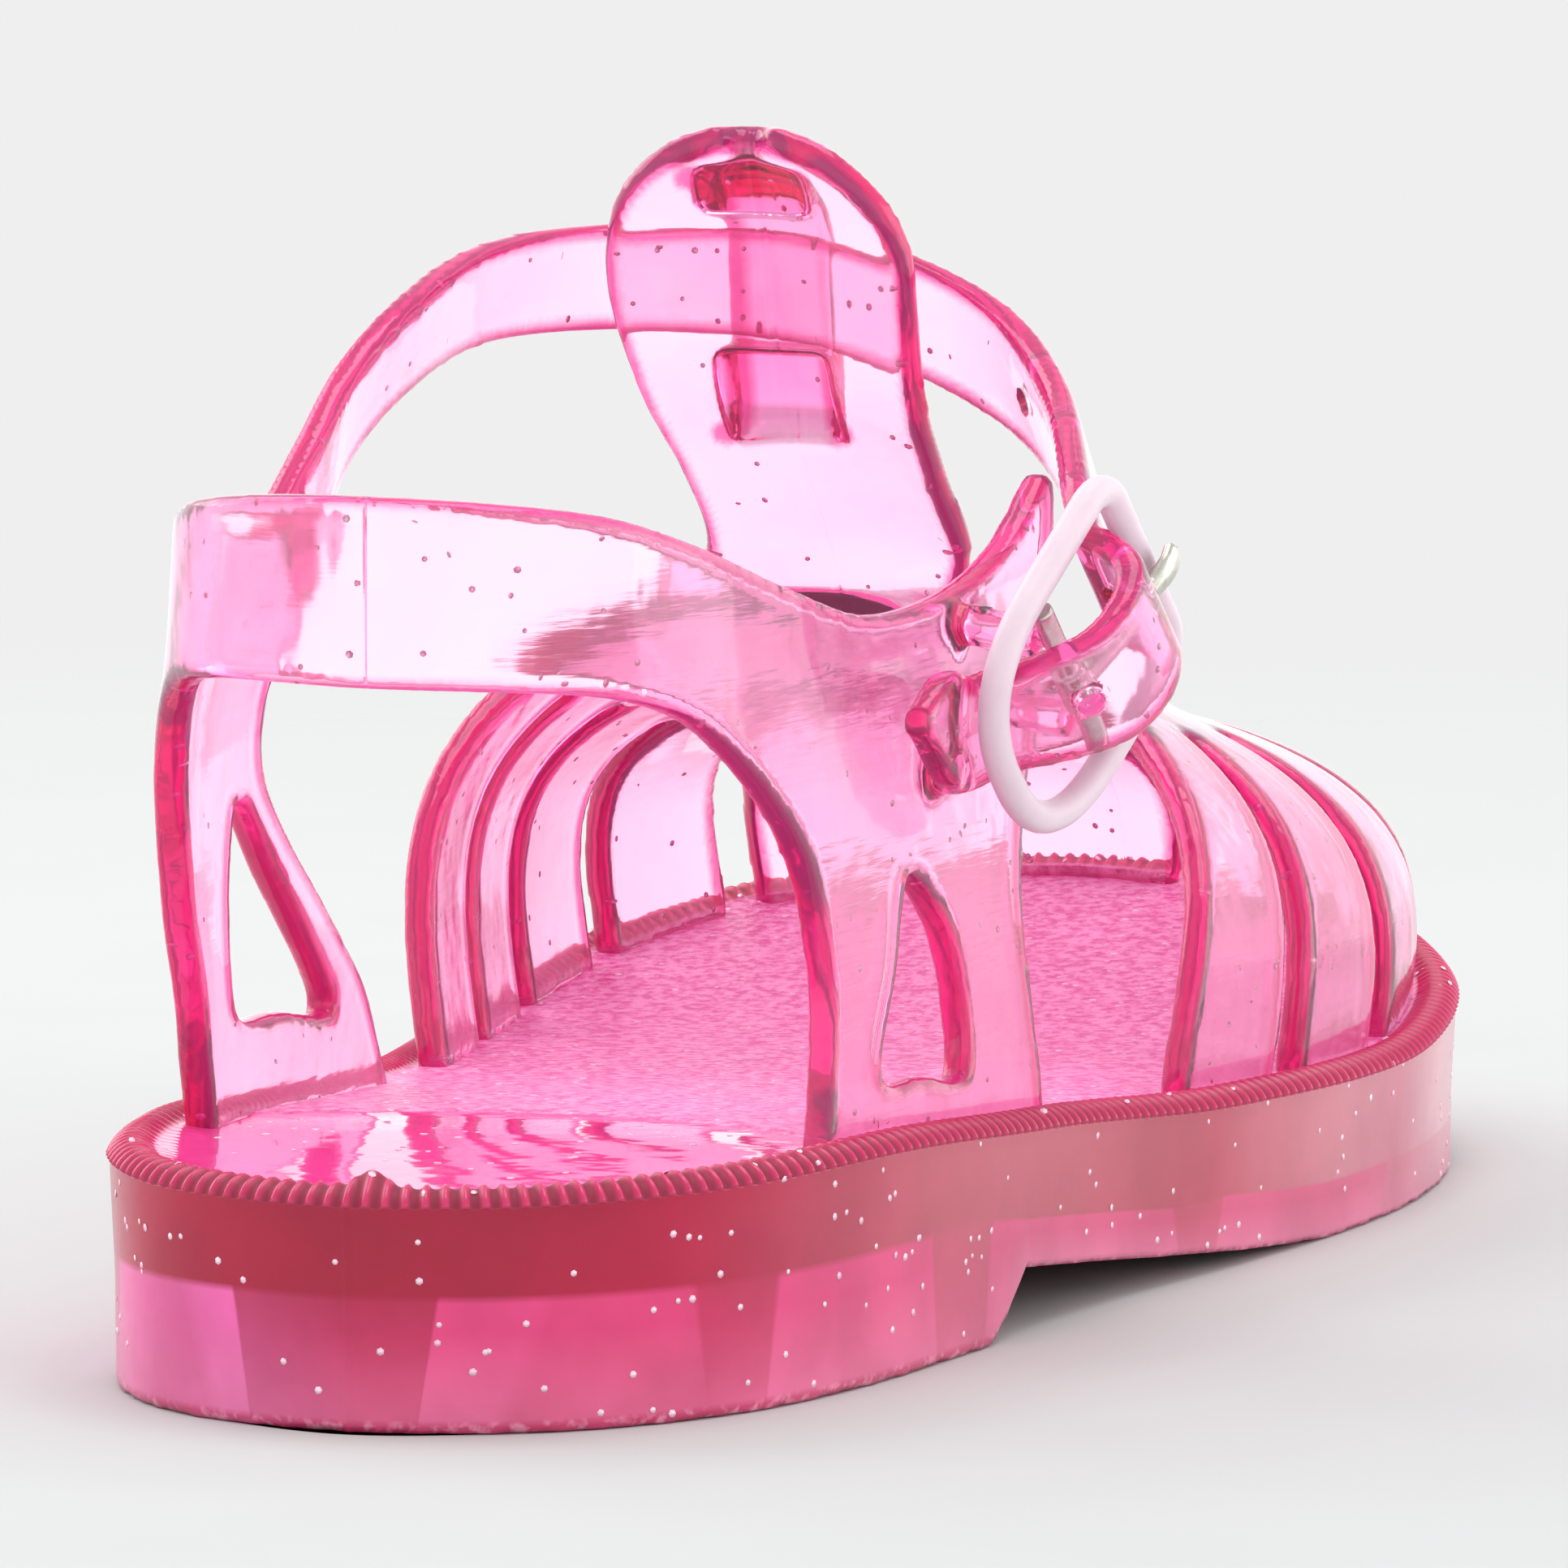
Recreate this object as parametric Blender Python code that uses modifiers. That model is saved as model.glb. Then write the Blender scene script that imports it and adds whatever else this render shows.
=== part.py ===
"""Child's moulded jelly sandal, right shoe, standing on its sole.

The toe points to +X, the inner (medial) side of the foot to +Y, and the floor is Z = 0.
Sizes are in millimetres from the back of the heel, and are turned to metres when a mesh is made.
"""
import math

import bmesh
import bpy
import numpy as np
from mathutils import Vector

for old in list(bpy.data.objects):
    bpy.data.objects.remove(old, do_unlink=True)

# Driving dimensions, in millimetres
MM = 0.001
LENGTH = 177.5
TOE_TIP_Y = 4.0
ORIGIN_X = 88.75
ORIGIN_Y = -0.9
GAP = 0.35

# Sole: plan sections from the heel, with the outer and inner half breadths
PLAN = (
    # x, lateral, medial
    (2.3, 9.4, 9.6),
    (7.0, 15.8, 16.5),
    (15.4, 21.8, 21.8),
    (27.0, 25.6, 24.4),
    (45.0, 28.2, 24.8),
    (71.0, 30.6, 26.4),
    (91.5, 33.9, 29.4),
    (112.0, 36.4, 33.2),
    (128.0, 36.3, 35.4),
    (144.0, 33.4, 34.8),
    (156.4, 27.9, 31.6),
    (166.8, 19.9, 25.6),
    (174.1, 9.4, 17.0),
)
# Height of the sole's wall under the bead, and of its lower edge in front of the heel block
WALL_TOP = ((0, 14.7), (28, 15.1), (58, 13.5), (88, 11.3), (118, 10.6), (148, 12.7), (177.5, 16.2))
UNDERSIDE = ((55, 4.4), (64, 3.5), (82, 1.7), (100, 0.25), (106, 0.0), (138, 0.0), (150, 1.3), (163, 3.4),
             (177.5, 6.2))
BREAST_FOOT = 48.5
BREAST_TOP = 55.0
WALL_DRAFT = 0.35
BEAD = ((0.0, 0.0), (0.25, 0.5), (0.95, 1.1), (2.1, 1.1), (2.9, 0.6))   # inset, height above the wall
FOOTBED_RISE = BEAD[-1][1]
HEEL_ROUND = 15.0
TOE_ROUND = 21.0
STATION_PITCH = 7.0
SOLE_COLUMNS = 4

# Hollows under the sole, on each side of a centre rib
SIDE_WALL = 3.2
CENTRE_RIB = 5.0
HEEL_POCKET_DEPTH = 8.8
ARCH_POCKET_DEPTH = 3.4
FORE_POCKET_DEPTH = 4.0
POCKET_DRAFT = 0.08
POCKETS = (
    # x from, x to, depth
    (4.5, 12.5, HEEL_POCKET_DEPTH),
    (16.5, 40.5, HEEL_POCKET_DEPTH),
    (59.0, 80.5, ARCH_POCKET_DEPTH),
    (87.0, 115.0, FORE_POCKET_DEPTH),
    (120.0, 139.0, FORE_POCKET_DEPTH),
    (144.0, 160.0, ARCH_POCKET_DEPTH),
)

# Toe cage: strips that fan from the instep saddle to the bead
CAGE_INSET = 3.3
CAGE_WALL = 2.2
STRIPS = 11
SLOT_AT_BEAD = 4.0
SLOT_AT_SADDLE = 1.5
CAGE_REAR = (86.5, 85.0)     # outer side, inner side
SADDLE = (
    # x, y, z along the top ends of the strips
    (106.0, -20.4, 36.2),
    (120.0, -19.8, 34.4),
    (132.5, -16.4, 33.2),
    (141.0, -8.0, 33.0),
    (144.0, 2.0, 33.2),
    (142.5, 11.5, 33.2),
    (134.5, 18.5, 33.6),
    (121.0, 21.6, 36.4),
    (104.6, 22.6, 39.6),
)
SADDLE_CREST = ((106.0, 43.6), (116.0, 40.6), (128.0, 37.4), (144.0, 33.2))
SLOT_ENDS_AT = 0.93
STRIP_TOP_LEAN = math.radians(64)
STRIP_BULGE = 3.0
STRIP_ROWS = 8
STRIP_COLUMNS = 4
SADDLE_COLUMNS = 8

# Tongue, from the saddle's rear edge up: mid line and half width
TONGUE = (
    # x, y, z, half width
    (103.0, -1.2, 48.0, 10.0),
    (97.5, -1.1, 54.0, 9.9),
    (92.0, -0.5, 60.0, 10.7),
    (89.9, 0.0, 65.5, 11.4),
    (88.6, 0.0, 70.0, 11.3),
    (86.6, 0.0, 74.0, 9.6),
    (85.3, 0.0, 77.0, 6.2),
    (84.8, 0.0, 78.1, 3.0),
)
TONGUE_HOLLOW = 3.2
LOOP_Y = 0.9
LOOP_HALF_WIDTH = 3.8
LOOP = (
    # x, z of the outer face
    (85.0, 74.9),
    (92.4, 75.0),
    (95.5, 71.5),
    (96.4, 66.0),
    (97.0, 62.0),
    (97.2, 59.2),
    (93.4, 56.4),
)
LOOP_WALL = 1.8

# Heel quarter: band, posts, windows and buckle tab, drawn on each side as x and z
QUARTER_INSET = 3.3
QUARTER_WALL = 2.3
QUARTER_LOW = 17.0           # the outer side leans in between these heights
QUARTER_HIGH = 55.0
QUARTER_LEAN = (
    # x, lateral half breadth at the band and fullest medial half breadth, over those at the sole
    (5.0, 0.96, 1.015),
    (20.0, 0.90, 1.033),
    (30.0, 0.89, 1.036),
    (45.0, 0.875, 1.033),
    (71.0, 0.93, 1.00),
)
# The inner side is fullest in the posts, and steps in at the band: height, share of the fullness
MEDIAL_FULLNESS = ((15.0, 0.0), (23.0, 0.0), (30.5, 0.75), (38.0, 1.0), (43.0, 0.35), (47.5, -0.85),
                   (60.0, -2.3))
SEAT = None          # stands for a point on the footbed
LATERAL_EDGE = ((29.6, SEAT), (42.0, SEAT), (54.0, SEAT), (66.0, SEAT), (64.4, 21.9), (63.8, 27.5),
                (64.6, 32.6), (68.3, 41.8), (71.0, 49.7), (72.0, 54.8), (71.4, 56.2), (70.0, 55.4),
                (65.2, 52.2), (57.4, 49.8), (42.8, 49.3), (30.0, 52.3), (18.5, 56.2), (10.7, 58.6))
BAND_TOP = 60.0
MEDIAL_TOP = ((9.5, 59.0), (19.5, 56.6), (30.0, 55.0), (38.0, 55.2), (43.5, 56.4))
MEDIAL_EDGE = ((46.0, 52.0), (42.6, 48.0), (40.4, 43.8), (40.1, 40.6), (41.0, 37.2), (44.4, 33.6),
               (49.4, 29.7), (55.3, 25.1), (60.6, 21.1), (67.4, SEAT), (54.0, SEAT), (41.0, SEAT),
               (27.6, SEAT), (25.0, 21.7), (22.6, 30.7), (21.2, 36.4), (18.6, 42.0), (14.0, 46.0), (8.5, 47.4))
BAND_BOTTOM = 47.6
LATERAL_ARCH = ((8.6, 47.1), (13.7, 46.1), (18.5, 44.2), (25.7, 38.9), (30.3, 33.3), (31.9, 25.5),
                (31.0, 20.5))
LATERAL_WINDOW = ((45.3, 31.6), (42.2, 25.6), (38.8, 19.2), (52.2, 17.9), (51.9, 25.6), (48.6, 29.9))
MEDIAL_WINDOW = ((35.8, 36.0), (33.4, 29.5), (33.0, 22.7), (53.4, 20.2), (48.0, 25.4), (42.3, 30.5))
PATTERN_GRID = 5.0

# Ankle strap: middle line from the inner band to the tail, the way its width runs, and its half width
STRAP_WALL = 2.1
STRAP = (
    # x, y, z, width direction, half width
    (39.0, 19.3, 50.4, (-0.35, -0.05, 0.94), 4.3),
    (48.5, 19.9, 55.2, (-0.42, -0.15, 0.89), 4.3),
    (56.5, 20.2, 59.9, (-0.43, -0.25, 0.87), 4.0),
    (65.0, 19.0, 63.9, (-0.40, -0.25, 0.88), 3.8),
    (77.5, 17.4, 66.6, (-0.35, -0.20, 0.91), 3.7),
    (88.0, 12.2, 67.1, (-0.28, -0.1, 0.95), 3.8),
    (92.6, 0.0, 66.8, (-0.22, 0.0, 0.97), 4.1),
    (91.0, -9.0, 64.9, (-0.22, 0.1, 0.97), 4.2),
    (87.0, -17.4, 61.6, (-0.26, 0.1, 0.95), 4.4),
    (79.0, -24.0, 57.4, (-0.40, 0.1, 0.90), 4.8),
)
# The same strap through the buckle, in the buckle's own along, across and outward directions
STRAP_IN_BUCKLE = (
    # along, across, outward, half width
    (9.4, 0.2, -2.95, 5.2),
    (7.5, 0.2, -1.5, 5.2),
    (6.9, 0.3, 0.5, 5.2),
    (5.7, 0.3, 2.8, 5.2),
    (3.0, 0.4, 4.0, 5.2),
    (-0.8, 0.6, 3.6, 5.1),
    (-4.0, 1.0, 1.0, 4.8),
    (-6.8, 1.4, -2.5, 4.4),
    (-9.3, 2.8, -3.2, 3.9),
)
STRAP_TAIL = ((46.6, -25.4, 41.8, (0.15, 0.0, 0.99), 3.6), (42.4, -24.9, 42.4, (0.1, 0.0, 0.99), 0.9))

# Buckle
BUCKLE_CENTRE = (57.0, -31.3, 44.6)
BUCKLE_ALONG = (0.675, -0.256, 0.69)
BUCKLE_OUT = (-0.237, -0.955, -0.122)
FRAME_FRONT = 9.6
FRAME_BACK = -10.0
FRAME_HALF = 8.6
FRAME_CORNER = 2.4
FRAME_WIRE = 1.1
FRAME_FULLNESS = 0.8         # under 1, the back is fuller than an ellipse
BAR_RADIUS = 0.8
BAR_ALONG = -0.8
BAR_OUT = 0.05
BAR_HALF = 6.9
PRONG_RADIUS = 0.85
PRONG = ((-0.8, 0.05), (1.6, 0.5), (4.2, 1.0), (6.9, 1.75), (9.4, 2.3), (11.6, 2.0))   # along, outward
PRONG_HOLE = 1.4
LUG_ACROSS = (-3.6, 3.6)
LUG_WIDTH = 2.4
LUG_HALF_LENGTH = 1.1
LUG_FOOT = -7.2

parts = bpy.data.collections.new("jelly_sandal")
cutters = bpy.data.collections.new("cutters")
for group in (parts, cutters):
    bpy.context.scene.collection.children.link(group)


def material(name, colour, roughness, metallic=0.0):
    """Principled material with the piece's colour."""
    made = bpy.data.materials.new(name)
    made.use_nodes = True
    shader = made.node_tree.nodes["Principled BSDF"]
    shader.inputs["Base Color"].default_value = (*colour, 1.0)
    shader.inputs["Roughness"].default_value = roughness
    shader.inputs["Metallic"].default_value = metallic
    return made


def smooth(rows, x):
    """Smooth curve through (x, value) rows that doesn't overshoot."""
    xs = np.array([row[0] for row in rows], float)
    ys = np.array([row[1] for row in rows], float)
    slope = np.diff(ys) / np.diff(xs)
    tangent = np.zeros(len(xs))
    same = slope[:-1] * slope[1:] > 0
    tangent[1:-1][same] = 2 * slope[:-1][same] * slope[1:][same] / (slope[:-1] + slope[1:])[same]
    tangent[0], tangent[-1] = slope[0], slope[-1]
    x = np.clip(np.asarray(x, float), xs[0], xs[-1])
    k = np.clip(np.searchsorted(xs, x) - 1, 0, len(xs) - 2)
    step = xs[k + 1] - xs[k]
    t = (x - xs[k]) / step
    return ((2 * t**3 - 3 * t**2 + 1) * ys[k] + (t**3 - 2 * t**2 + t) * step * tangent[k]
            + (3 * t**2 - 2 * t**3) * ys[k + 1] + (t**3 - t**2) * step * tangent[k + 1])


def spline(points, per_span, closed=False):
    """Centripetal Catmull-Rom curve through points, with per_span samples to a span."""
    pts = [np.asarray(p, float) for p in points]
    if closed:
        pts = [pts[-1]] + pts + [pts[0], pts[1]]
    else:
        pts = [2 * pts[0] - pts[1]] + pts + [2 * pts[-1] - pts[-2]]
    curve = []
    for p0, p1, p2, p3 in zip(pts, pts[1:], pts[2:], pts[3:]):
        t0 = 0.0
        t1 = t0 + max(np.linalg.norm(p1 - p0), 1e-6) ** 0.5
        t2 = t1 + max(np.linalg.norm(p2 - p1), 1e-6) ** 0.5
        t3 = t2 + max(np.linalg.norm(p3 - p2), 1e-6) ** 0.5
        for t in np.linspace(t1, t2, per_span, endpoint=False):
            a1 = (t1 - t) / (t1 - t0) * p0 + (t - t0) / (t1 - t0) * p1
            a2 = (t2 - t) / (t2 - t1) * p1 + (t - t1) / (t2 - t1) * p2
            a3 = (t3 - t) / (t3 - t2) * p2 + (t - t2) / (t3 - t2) * p3
            b1 = (t2 - t) / (t2 - t0) * a1 + (t - t0) / (t2 - t0) * a2
            b2 = (t3 - t) / (t3 - t1) * a2 + (t - t1) / (t3 - t1) * a3
            curve.append((t2 - t) / (t2 - t1) * b1 + (t - t1) / (t2 - t1) * b2)
    if not closed:
        curve.append(pts[-2])
    return np.array(curve)


# Plan outline of the sole, walked from the heel along the outer side, the toe and back along the inner side
OUTLINE_SPAN = 20
plan_points = ([(0.0, 0.0)] + [(x, -lateral) for x, lateral, medial in PLAN] + [(LENGTH, TOE_TIP_Y)]
               + [(x, medial) for x, lateral, medial in reversed(PLAN)])
outline = spline(plan_points, OUTLINE_SPAN, closed=True)
outline_way = np.roll(outline, -1, axis=0) - np.roll(outline, 1, axis=0)
outline_way /= np.linalg.norm(outline_way, axis=1)[:, None]
outline_out = np.stack([outline_way[:, 1], -outline_way[:, 0]], 1)
toe_index = (len(PLAN) + 1) * OUTLINE_SPAN


def side_curve(side, inset):
    """Outline of one side from heel to toe, moved in by inset; side is -1 outer, +1 inner."""
    curve = outline - inset * outline_out
    if side < 0:
        return curve[:toe_index + 1]
    return np.vstack([curve[toe_index:], curve[:1]])[::-1]


def breadth(side, x, inset):
    """Signed y of one side's outline at x."""
    curve = side_curve(side, inset)
    return np.interp(x, curve[:, 0], curve[:, 1])


def wall_top(x):
    return smooth(WALL_TOP, x)


def footbed(x):
    return wall_top(x) + FOOTBED_RISE


def underside(x):
    x = np.asarray(x, float)
    breast = np.clip((x - BREAST_FOOT) / (BREAST_TOP - BREAST_FOOT), 0, 1) * UNDERSIDE[0][1]
    return np.where(x < BREAST_TOP, breast, smooth(UNDERSIDE, x))


def stations():
    """Places along the sole: close together at the round ends, and at both edges of the heel breast."""
    ends = np.linspace(0, 1, 6)[1:] ** 2
    heel = HEEL_ROUND * ends
    toe = LENGTH - TOE_ROUND * ends[::-1]
    rear = np.linspace(heel[-1], BREAST_FOOT, 5)[1:]
    fore = np.linspace(BREAST_TOP, toe[0], int((toe[0] - BREAST_TOP) / STATION_PITCH))[:-1]
    return np.concatenate([heel, rear, fore, toe])


def sole_ring(inset, height):
    """Closed ring of points round the sole: heel, outer stations, toe, inner stations back."""
    ring = []
    for side in (-1, 1):
        plain = side_curve(side, 0.0)
        moved = side_curve(side, inset)
        place = np.interp(stations(), plain[:, 0], np.arange(len(plain)))
        index = np.concatenate([[0], place, [len(plain) - 1]])
        xy = np.stack([np.interp(index, np.arange(len(moved)), moved[:, k]) for k in (0, 1)], 1)
        ring.append(xy if side < 0 else xy[::-1][1:-1])
    xy = np.vstack(ring)
    return np.column_stack([xy, height(xy[:, 0])])


def world(point):
    """Millimetres from the heel to the part's own frame in metres."""
    x, y, z = point
    return Vector(((x - ORIGIN_X) * MM, (y - ORIGIN_Y) * MM, z * MM))


def add_verts(bm, points):
    return [bm.verts.new(world(p)) for p in points]


def bridge(bm, lower, upper, closed=True):
    """Quads between two rows of vertices of the same length."""
    count = len(lower)
    for k in range(count if closed else count - 1):
        n = (k + 1) % count
        bm.faces.new((lower[k], lower[n], upper[n], upper[k]))


def ladder(bm, ring, columns):
    """Fills a heel-to-toe ring with rows of quads between its two sides."""
    half = len(ring) // 2
    rows = []
    for k in range(1, half):
        left, right = ring[k], ring[len(ring) - k]
        inner = [bm.verts.new(left.co.lerp(right.co, c / columns)) for c in range(1, columns)]
        rows.append([left] + inner + [right])
    for row, after in zip(rows, rows[1:]):
        bridge(bm, row, after, closed=False)
    for tip, row in ((ring[0], rows[0]), (ring[half], rows[-1])):
        for a, b in zip(row, row[1:]):
            bm.faces.new((tip, a, b))


def finish(bm, name, finish_material, collection):
    """Closes the mesh work and makes the object."""
    bmesh.ops.recalc_face_normals(bm, faces=bm.faces)
    mesh = bpy.data.meshes.new(name)
    bm.to_mesh(mesh)
    bm.free()
    made = bpy.data.objects.new(name, mesh)
    collection.objects.link(made)
    if collection is cutters:
        made.hide_render = True
        made.display_type = "WIRE"
    else:
        mesh.materials.append(finish_material)
        mesh.shade_smooth()
        mesh.set_sharp_from_angle(angle=math.radians(40))
    return made


def boolean(target, tool, operation):
    step = target.modifiers.new(tool.name, "BOOLEAN")
    step.operation = operation
    step.solver = "EXACT"
    step.object = tool
    return step


def prism(bm, lower, upper):
    """Closed solid between two outlines of the same number of points."""
    low, high = add_verts(bm, lower), add_verts(bm, upper)
    bridge(bm, low, high)
    bm.faces.new(low)
    bm.faces.new(high)


def make_sole(pvc):
    bm = bmesh.new()
    rings = [sole_ring(WALL_DRAFT, underside)]
    for inset, rise in BEAD:
        rings.append(sole_ring(inset, lambda x, rise=rise: wall_top(x) + rise))
    verts = [add_verts(bm, ring) for ring in rings]
    for lower, upper in zip(verts, verts[1:]):
        bridge(bm, lower, upper)
    ladder(bm, verts[0], SOLE_COLUMNS)
    ladder(bm, verts[-1], SOLE_COLUMNS)
    sole = finish(bm, "sole", pvc, parts)
    bm = bmesh.new()
    for x_from, x_to, depth in POCKETS:
        for side in (-1, 1):
            x = np.linspace(x_from, x_to, 5)
            outer = [(v, breadth(side, v, SIDE_WALL)) for v in x]
            floor = [(v, y) for v, y in outer + [(x_to, side * CENTRE_RIB), (x_from, side * CENTRE_RIB)]]
            middle = np.mean(floor, axis=0)
            roof = [tuple(middle + (np.array(p) - middle) * (1 - POCKET_DRAFT)) for p in floor]
            prism(bm, [(v, y, float(underside(v)) - 2) for v, y in floor],
                  [(v, y, float(underside(v)) + depth) for v, y in roof])
    boolean(sole, finish(bm, "sole_pockets", None, cutters), "DIFFERENCE")
    return sole


def cage_base():
    """Foot line of the cage from the outer rear corner round the toe to the inner rear corner."""
    outer, inner = side_curve(-1, CAGE_INSET), side_curve(1, CAGE_INSET)
    return np.vstack([outer[outer[:, 0] > CAGE_REAR[0]], inner[inner[:, 0] > CAGE_REAR[1]][::-1][1:]])


def along(line, share):
    """Points at shares of a polyline's length."""
    run = np.concatenate([[0], np.cumsum(np.linalg.norm(np.diff(line, axis=0), axis=1))])
    places = np.asarray(share) * run[-1]
    return np.stack([np.interp(places, run, line[:, k]) for k in range(line.shape[1])], -1)


def strip_points(line, slot):
    """Points across each strip, on a line that holds the strips and the slots between them."""
    total = np.linalg.norm(np.diff(line, axis=0), axis=1).sum()
    width = (total - slot * (STRIPS - 1)) / STRIPS
    return along(line, [(k * (width + slot) + width * f) / total
                        for k in range(STRIPS) for f in np.linspace(0, 1, STRIP_COLUMNS)])


def make_cage(pvc):
    base = strip_points(cage_base(), SLOT_AT_BEAD)
    way = np.gradient(base, axis=0)
    outward = np.column_stack([way[:, 1], -way[:, 0], np.zeros(len(way))])
    outward /= np.linalg.norm(outward, axis=1)[:, None]
    base = np.column_stack([base, footbed(base[:, 0]) + GAP])
    top = strip_points(spline(SADDLE, 8), SLOT_AT_SADDLE)
    bm = bmesh.new()
    rows = []
    for r in list(np.linspace(0, SLOT_ENDS_AT, STRIP_ROWS)) + [1.0]:
        lean = STRIP_TOP_LEAN * r
        reach = (1 - math.cos(lean)) / (1 - math.cos(STRIP_TOP_LEAN))
        rise = math.sin(lean) / math.sin(STRIP_TOP_LEAN)
        swell = STRIP_BULGE * math.sin(math.pi * r ** 1.25)
        rows.append(add_verts(bm, base + (top - base) * (reach, reach, rise) + outward * swell))
    for row, after in zip(rows, rows[1:]):
        joined = after is rows[-1]
        for k in range(len(row) - 1):
            in_slot = k % STRIP_COLUMNS == STRIP_COLUMNS - 1
            if joined or not in_slot:
                bm.faces.new((row[k], row[k + 1], after[k + 1], after[k]))
    # saddle: rows across from the outer to the inner edge, raised to the crest
    ring = rows[-1]
    half = len(ring) // 2
    columns = SADDLE_COLUMNS
    lines = []
    for k in range(half):
        left, right = ring[k], ring[-1 - k]
        middle = (left.co + right.co) / 2
        crest = float(smooth(SADDLE_CREST, middle.x / MM + ORIGIN_X)) * MM - middle.z
        line = [left]
        for c in range(1, columns):
            f = c / columns
            point = left.co.lerp(right.co, f)
            point.z += max(crest, 0.0) * (1 - (2 * f - 1) ** 2)
            line.append(bm.verts.new(point))
        lines.append(line + [right])
    for line, after in zip(lines, lines[1:]):
        bridge(bm, line, after, closed=False)
    # tongue: grown from the middle half of the saddle's rear edge
    quarter = columns // 4
    row = lines[0][quarter:-quarter]
    for x, y, z, half_width in TONGUE:
        shares = np.linspace(-1, 1, len(row))
        after = add_verts(bm, [(x - TONGUE_HOLLOW * s * s, y + half_width * s, z) for s in shares])
        bridge(bm, row, after, closed=False)
        row = after
    bmesh.ops.recalc_face_normals(bm, faces=bm.faces)
    apex = max(bm.faces, key=lambda f: f.calc_center_median().x)
    if apex.normal.x < 0:
        bmesh.ops.reverse_faces(bm, faces=bm.faces)
    mesh = bpy.data.meshes.new("toe_cage")
    bm.to_mesh(mesh)
    bm.free()
    mesh.materials.append(pvc)
    cage = bpy.data.objects.new("toe_cage", mesh)
    parts.objects.link(cage)
    shell = cage.modifiers.new("wall", "SOLIDIFY")
    shell.thickness = CAGE_WALL * MM
    shell.offset = -1.0
    shell.use_even_offset = True
    # strap loop on the front of the tongue
    bm = bmesh.new()
    outer = spline(LOOP, 2)
    way = np.gradient(outer, axis=0)
    way /= np.linalg.norm(way, axis=1)[:, None]
    inner = outer + LOOP_WALL * np.column_stack([way[:, 1], -way[:, 0]])
    edge = np.vstack([outer, inner[::-1]])
    sides = (LOOP_Y - LOOP_HALF_WIDTH, LOOP_Y + LOOP_HALF_WIDTH)
    bars = [add_verts(bm, [(x, y, z) for x, z in edge]) for y in sides]
    bridge(bm, bars[0], bars[1])
    count = len(outer)
    for bar in bars:
        for k in range(count - 1):
            bm.faces.new((bar[k], bar[k + 1], bar[2 * count - 2 - k], bar[2 * count - 1 - k]))
    boolean(cage, finish(bm, "tongue_loop", None, cutters), "UNION")
    return cage


def quarter_line(side):
    """Foot line of the heel quarter on one side, from the heel's middle forward."""
    return side_curve(side, QUARTER_INSET)


def quarter_run(side, x):
    """Distance along the foot line from the heel's middle to x, signed by side."""
    line = quarter_line(side)
    run = np.concatenate([[0], np.cumsum(np.linalg.norm(np.diff(line, axis=0), axis=1))])
    return side * float(np.interp(x, line[:, 0], run))


def quarter_point(run, z):
    """Outer face of the quarter at a distance along its foot line and a height."""
    side = 1 if run >= 0 else -1
    x, y = along_run(quarter_line(side), abs(run))
    column = 1 if side < 0 else 2
    ratio = float(smooth([(row[0], row[column]) for row in QUARTER_LEAN], x))
    if side < 0:
        share = min(max((z - QUARTER_LOW) / (QUARTER_HIGH - QUARTER_LOW), 0.0), 1.2)
    else:
        share = float(smooth(MEDIAL_FULLNESS, z))
    return x, y * (1 + (ratio - 1) * share), z


def along_run(line, run):
    steps = np.concatenate([[0], np.cumsum(np.linalg.norm(np.diff(line, axis=0), axis=1))])
    return [float(np.interp(run, steps, line[:, k])) for k in (0, 1)]


def pattern(side, rows):
    """Pattern points from x and z rows of one side."""
    return [(quarter_run(side, x), float(footbed(x)) + GAP if z is SEAT else z) for x, z in rows]


def make_quarter(pvc):
    border = (pattern(-1, LATERAL_EDGE) + [(0.0, BAND_TOP)] + pattern(1, MEDIAL_TOP) + pattern(1, MEDIAL_EDGE)
              + [(0.0, BAND_BOTTOM)] + pattern(-1, LATERAL_ARCH))
    bm = bmesh.new()
    for loop in (border, pattern(-1, LATERAL_WINDOW), pattern(1, MEDIAL_WINDOW)):
        verts = [bm.verts.new((run, z, 0.0)) for run, z in loop]
        for a, b in zip(verts, verts[1:] + verts[:1]):
            bm.edges.new((a, b))
    bmesh.ops.triangle_fill(bm, use_beauty=True, use_dissolve=False, edges=bm.edges[:])
    low = min(v.co.x for v in bm.verts)
    high = max(v.co.x for v in bm.verts)
    for cut in np.arange(math.ceil(low / PATTERN_GRID), high / PATTERN_GRID) * PATTERN_GRID:
        bmesh.ops.bisect_plane(bm, geom=bm.verts[:] + bm.edges[:] + bm.faces[:], plane_co=(cut, 0, 0),
                               plane_no=(1, 0, 0), dist=1e-4)
    bmesh.ops.dissolve_degenerate(bm, dist=1e-3, edges=bm.edges[:])
    for v in bm.verts:
        v.co = world(quarter_point(v.co.x, v.co.y))
    bmesh.ops.recalc_face_normals(bm, faces=bm.faces)
    rear = min(bm.faces, key=lambda f: f.calc_center_median().x)
    if rear.normal.x > 0:
        bmesh.ops.reverse_faces(bm, faces=bm.faces)
    mesh = bpy.data.meshes.new("heel_quarter")
    bm.to_mesh(mesh)
    bm.free()
    mesh.materials.append(pvc)
    quarter = bpy.data.objects.new("heel_quarter", mesh)
    parts.objects.link(quarter)
    shell = quarter.modifiers.new("wall", "SOLIDIFY")
    shell.thickness = QUARTER_WALL * MM
    shell.offset = -1.0
    shell.use_even_offset = True
    boolean(quarter, make_strap(), "UNION")
    boolean(quarter, make_lugs(), "UNION")
    boolean(quarter, make_prong_hole(), "DIFFERENCE")
    return quarter


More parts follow.
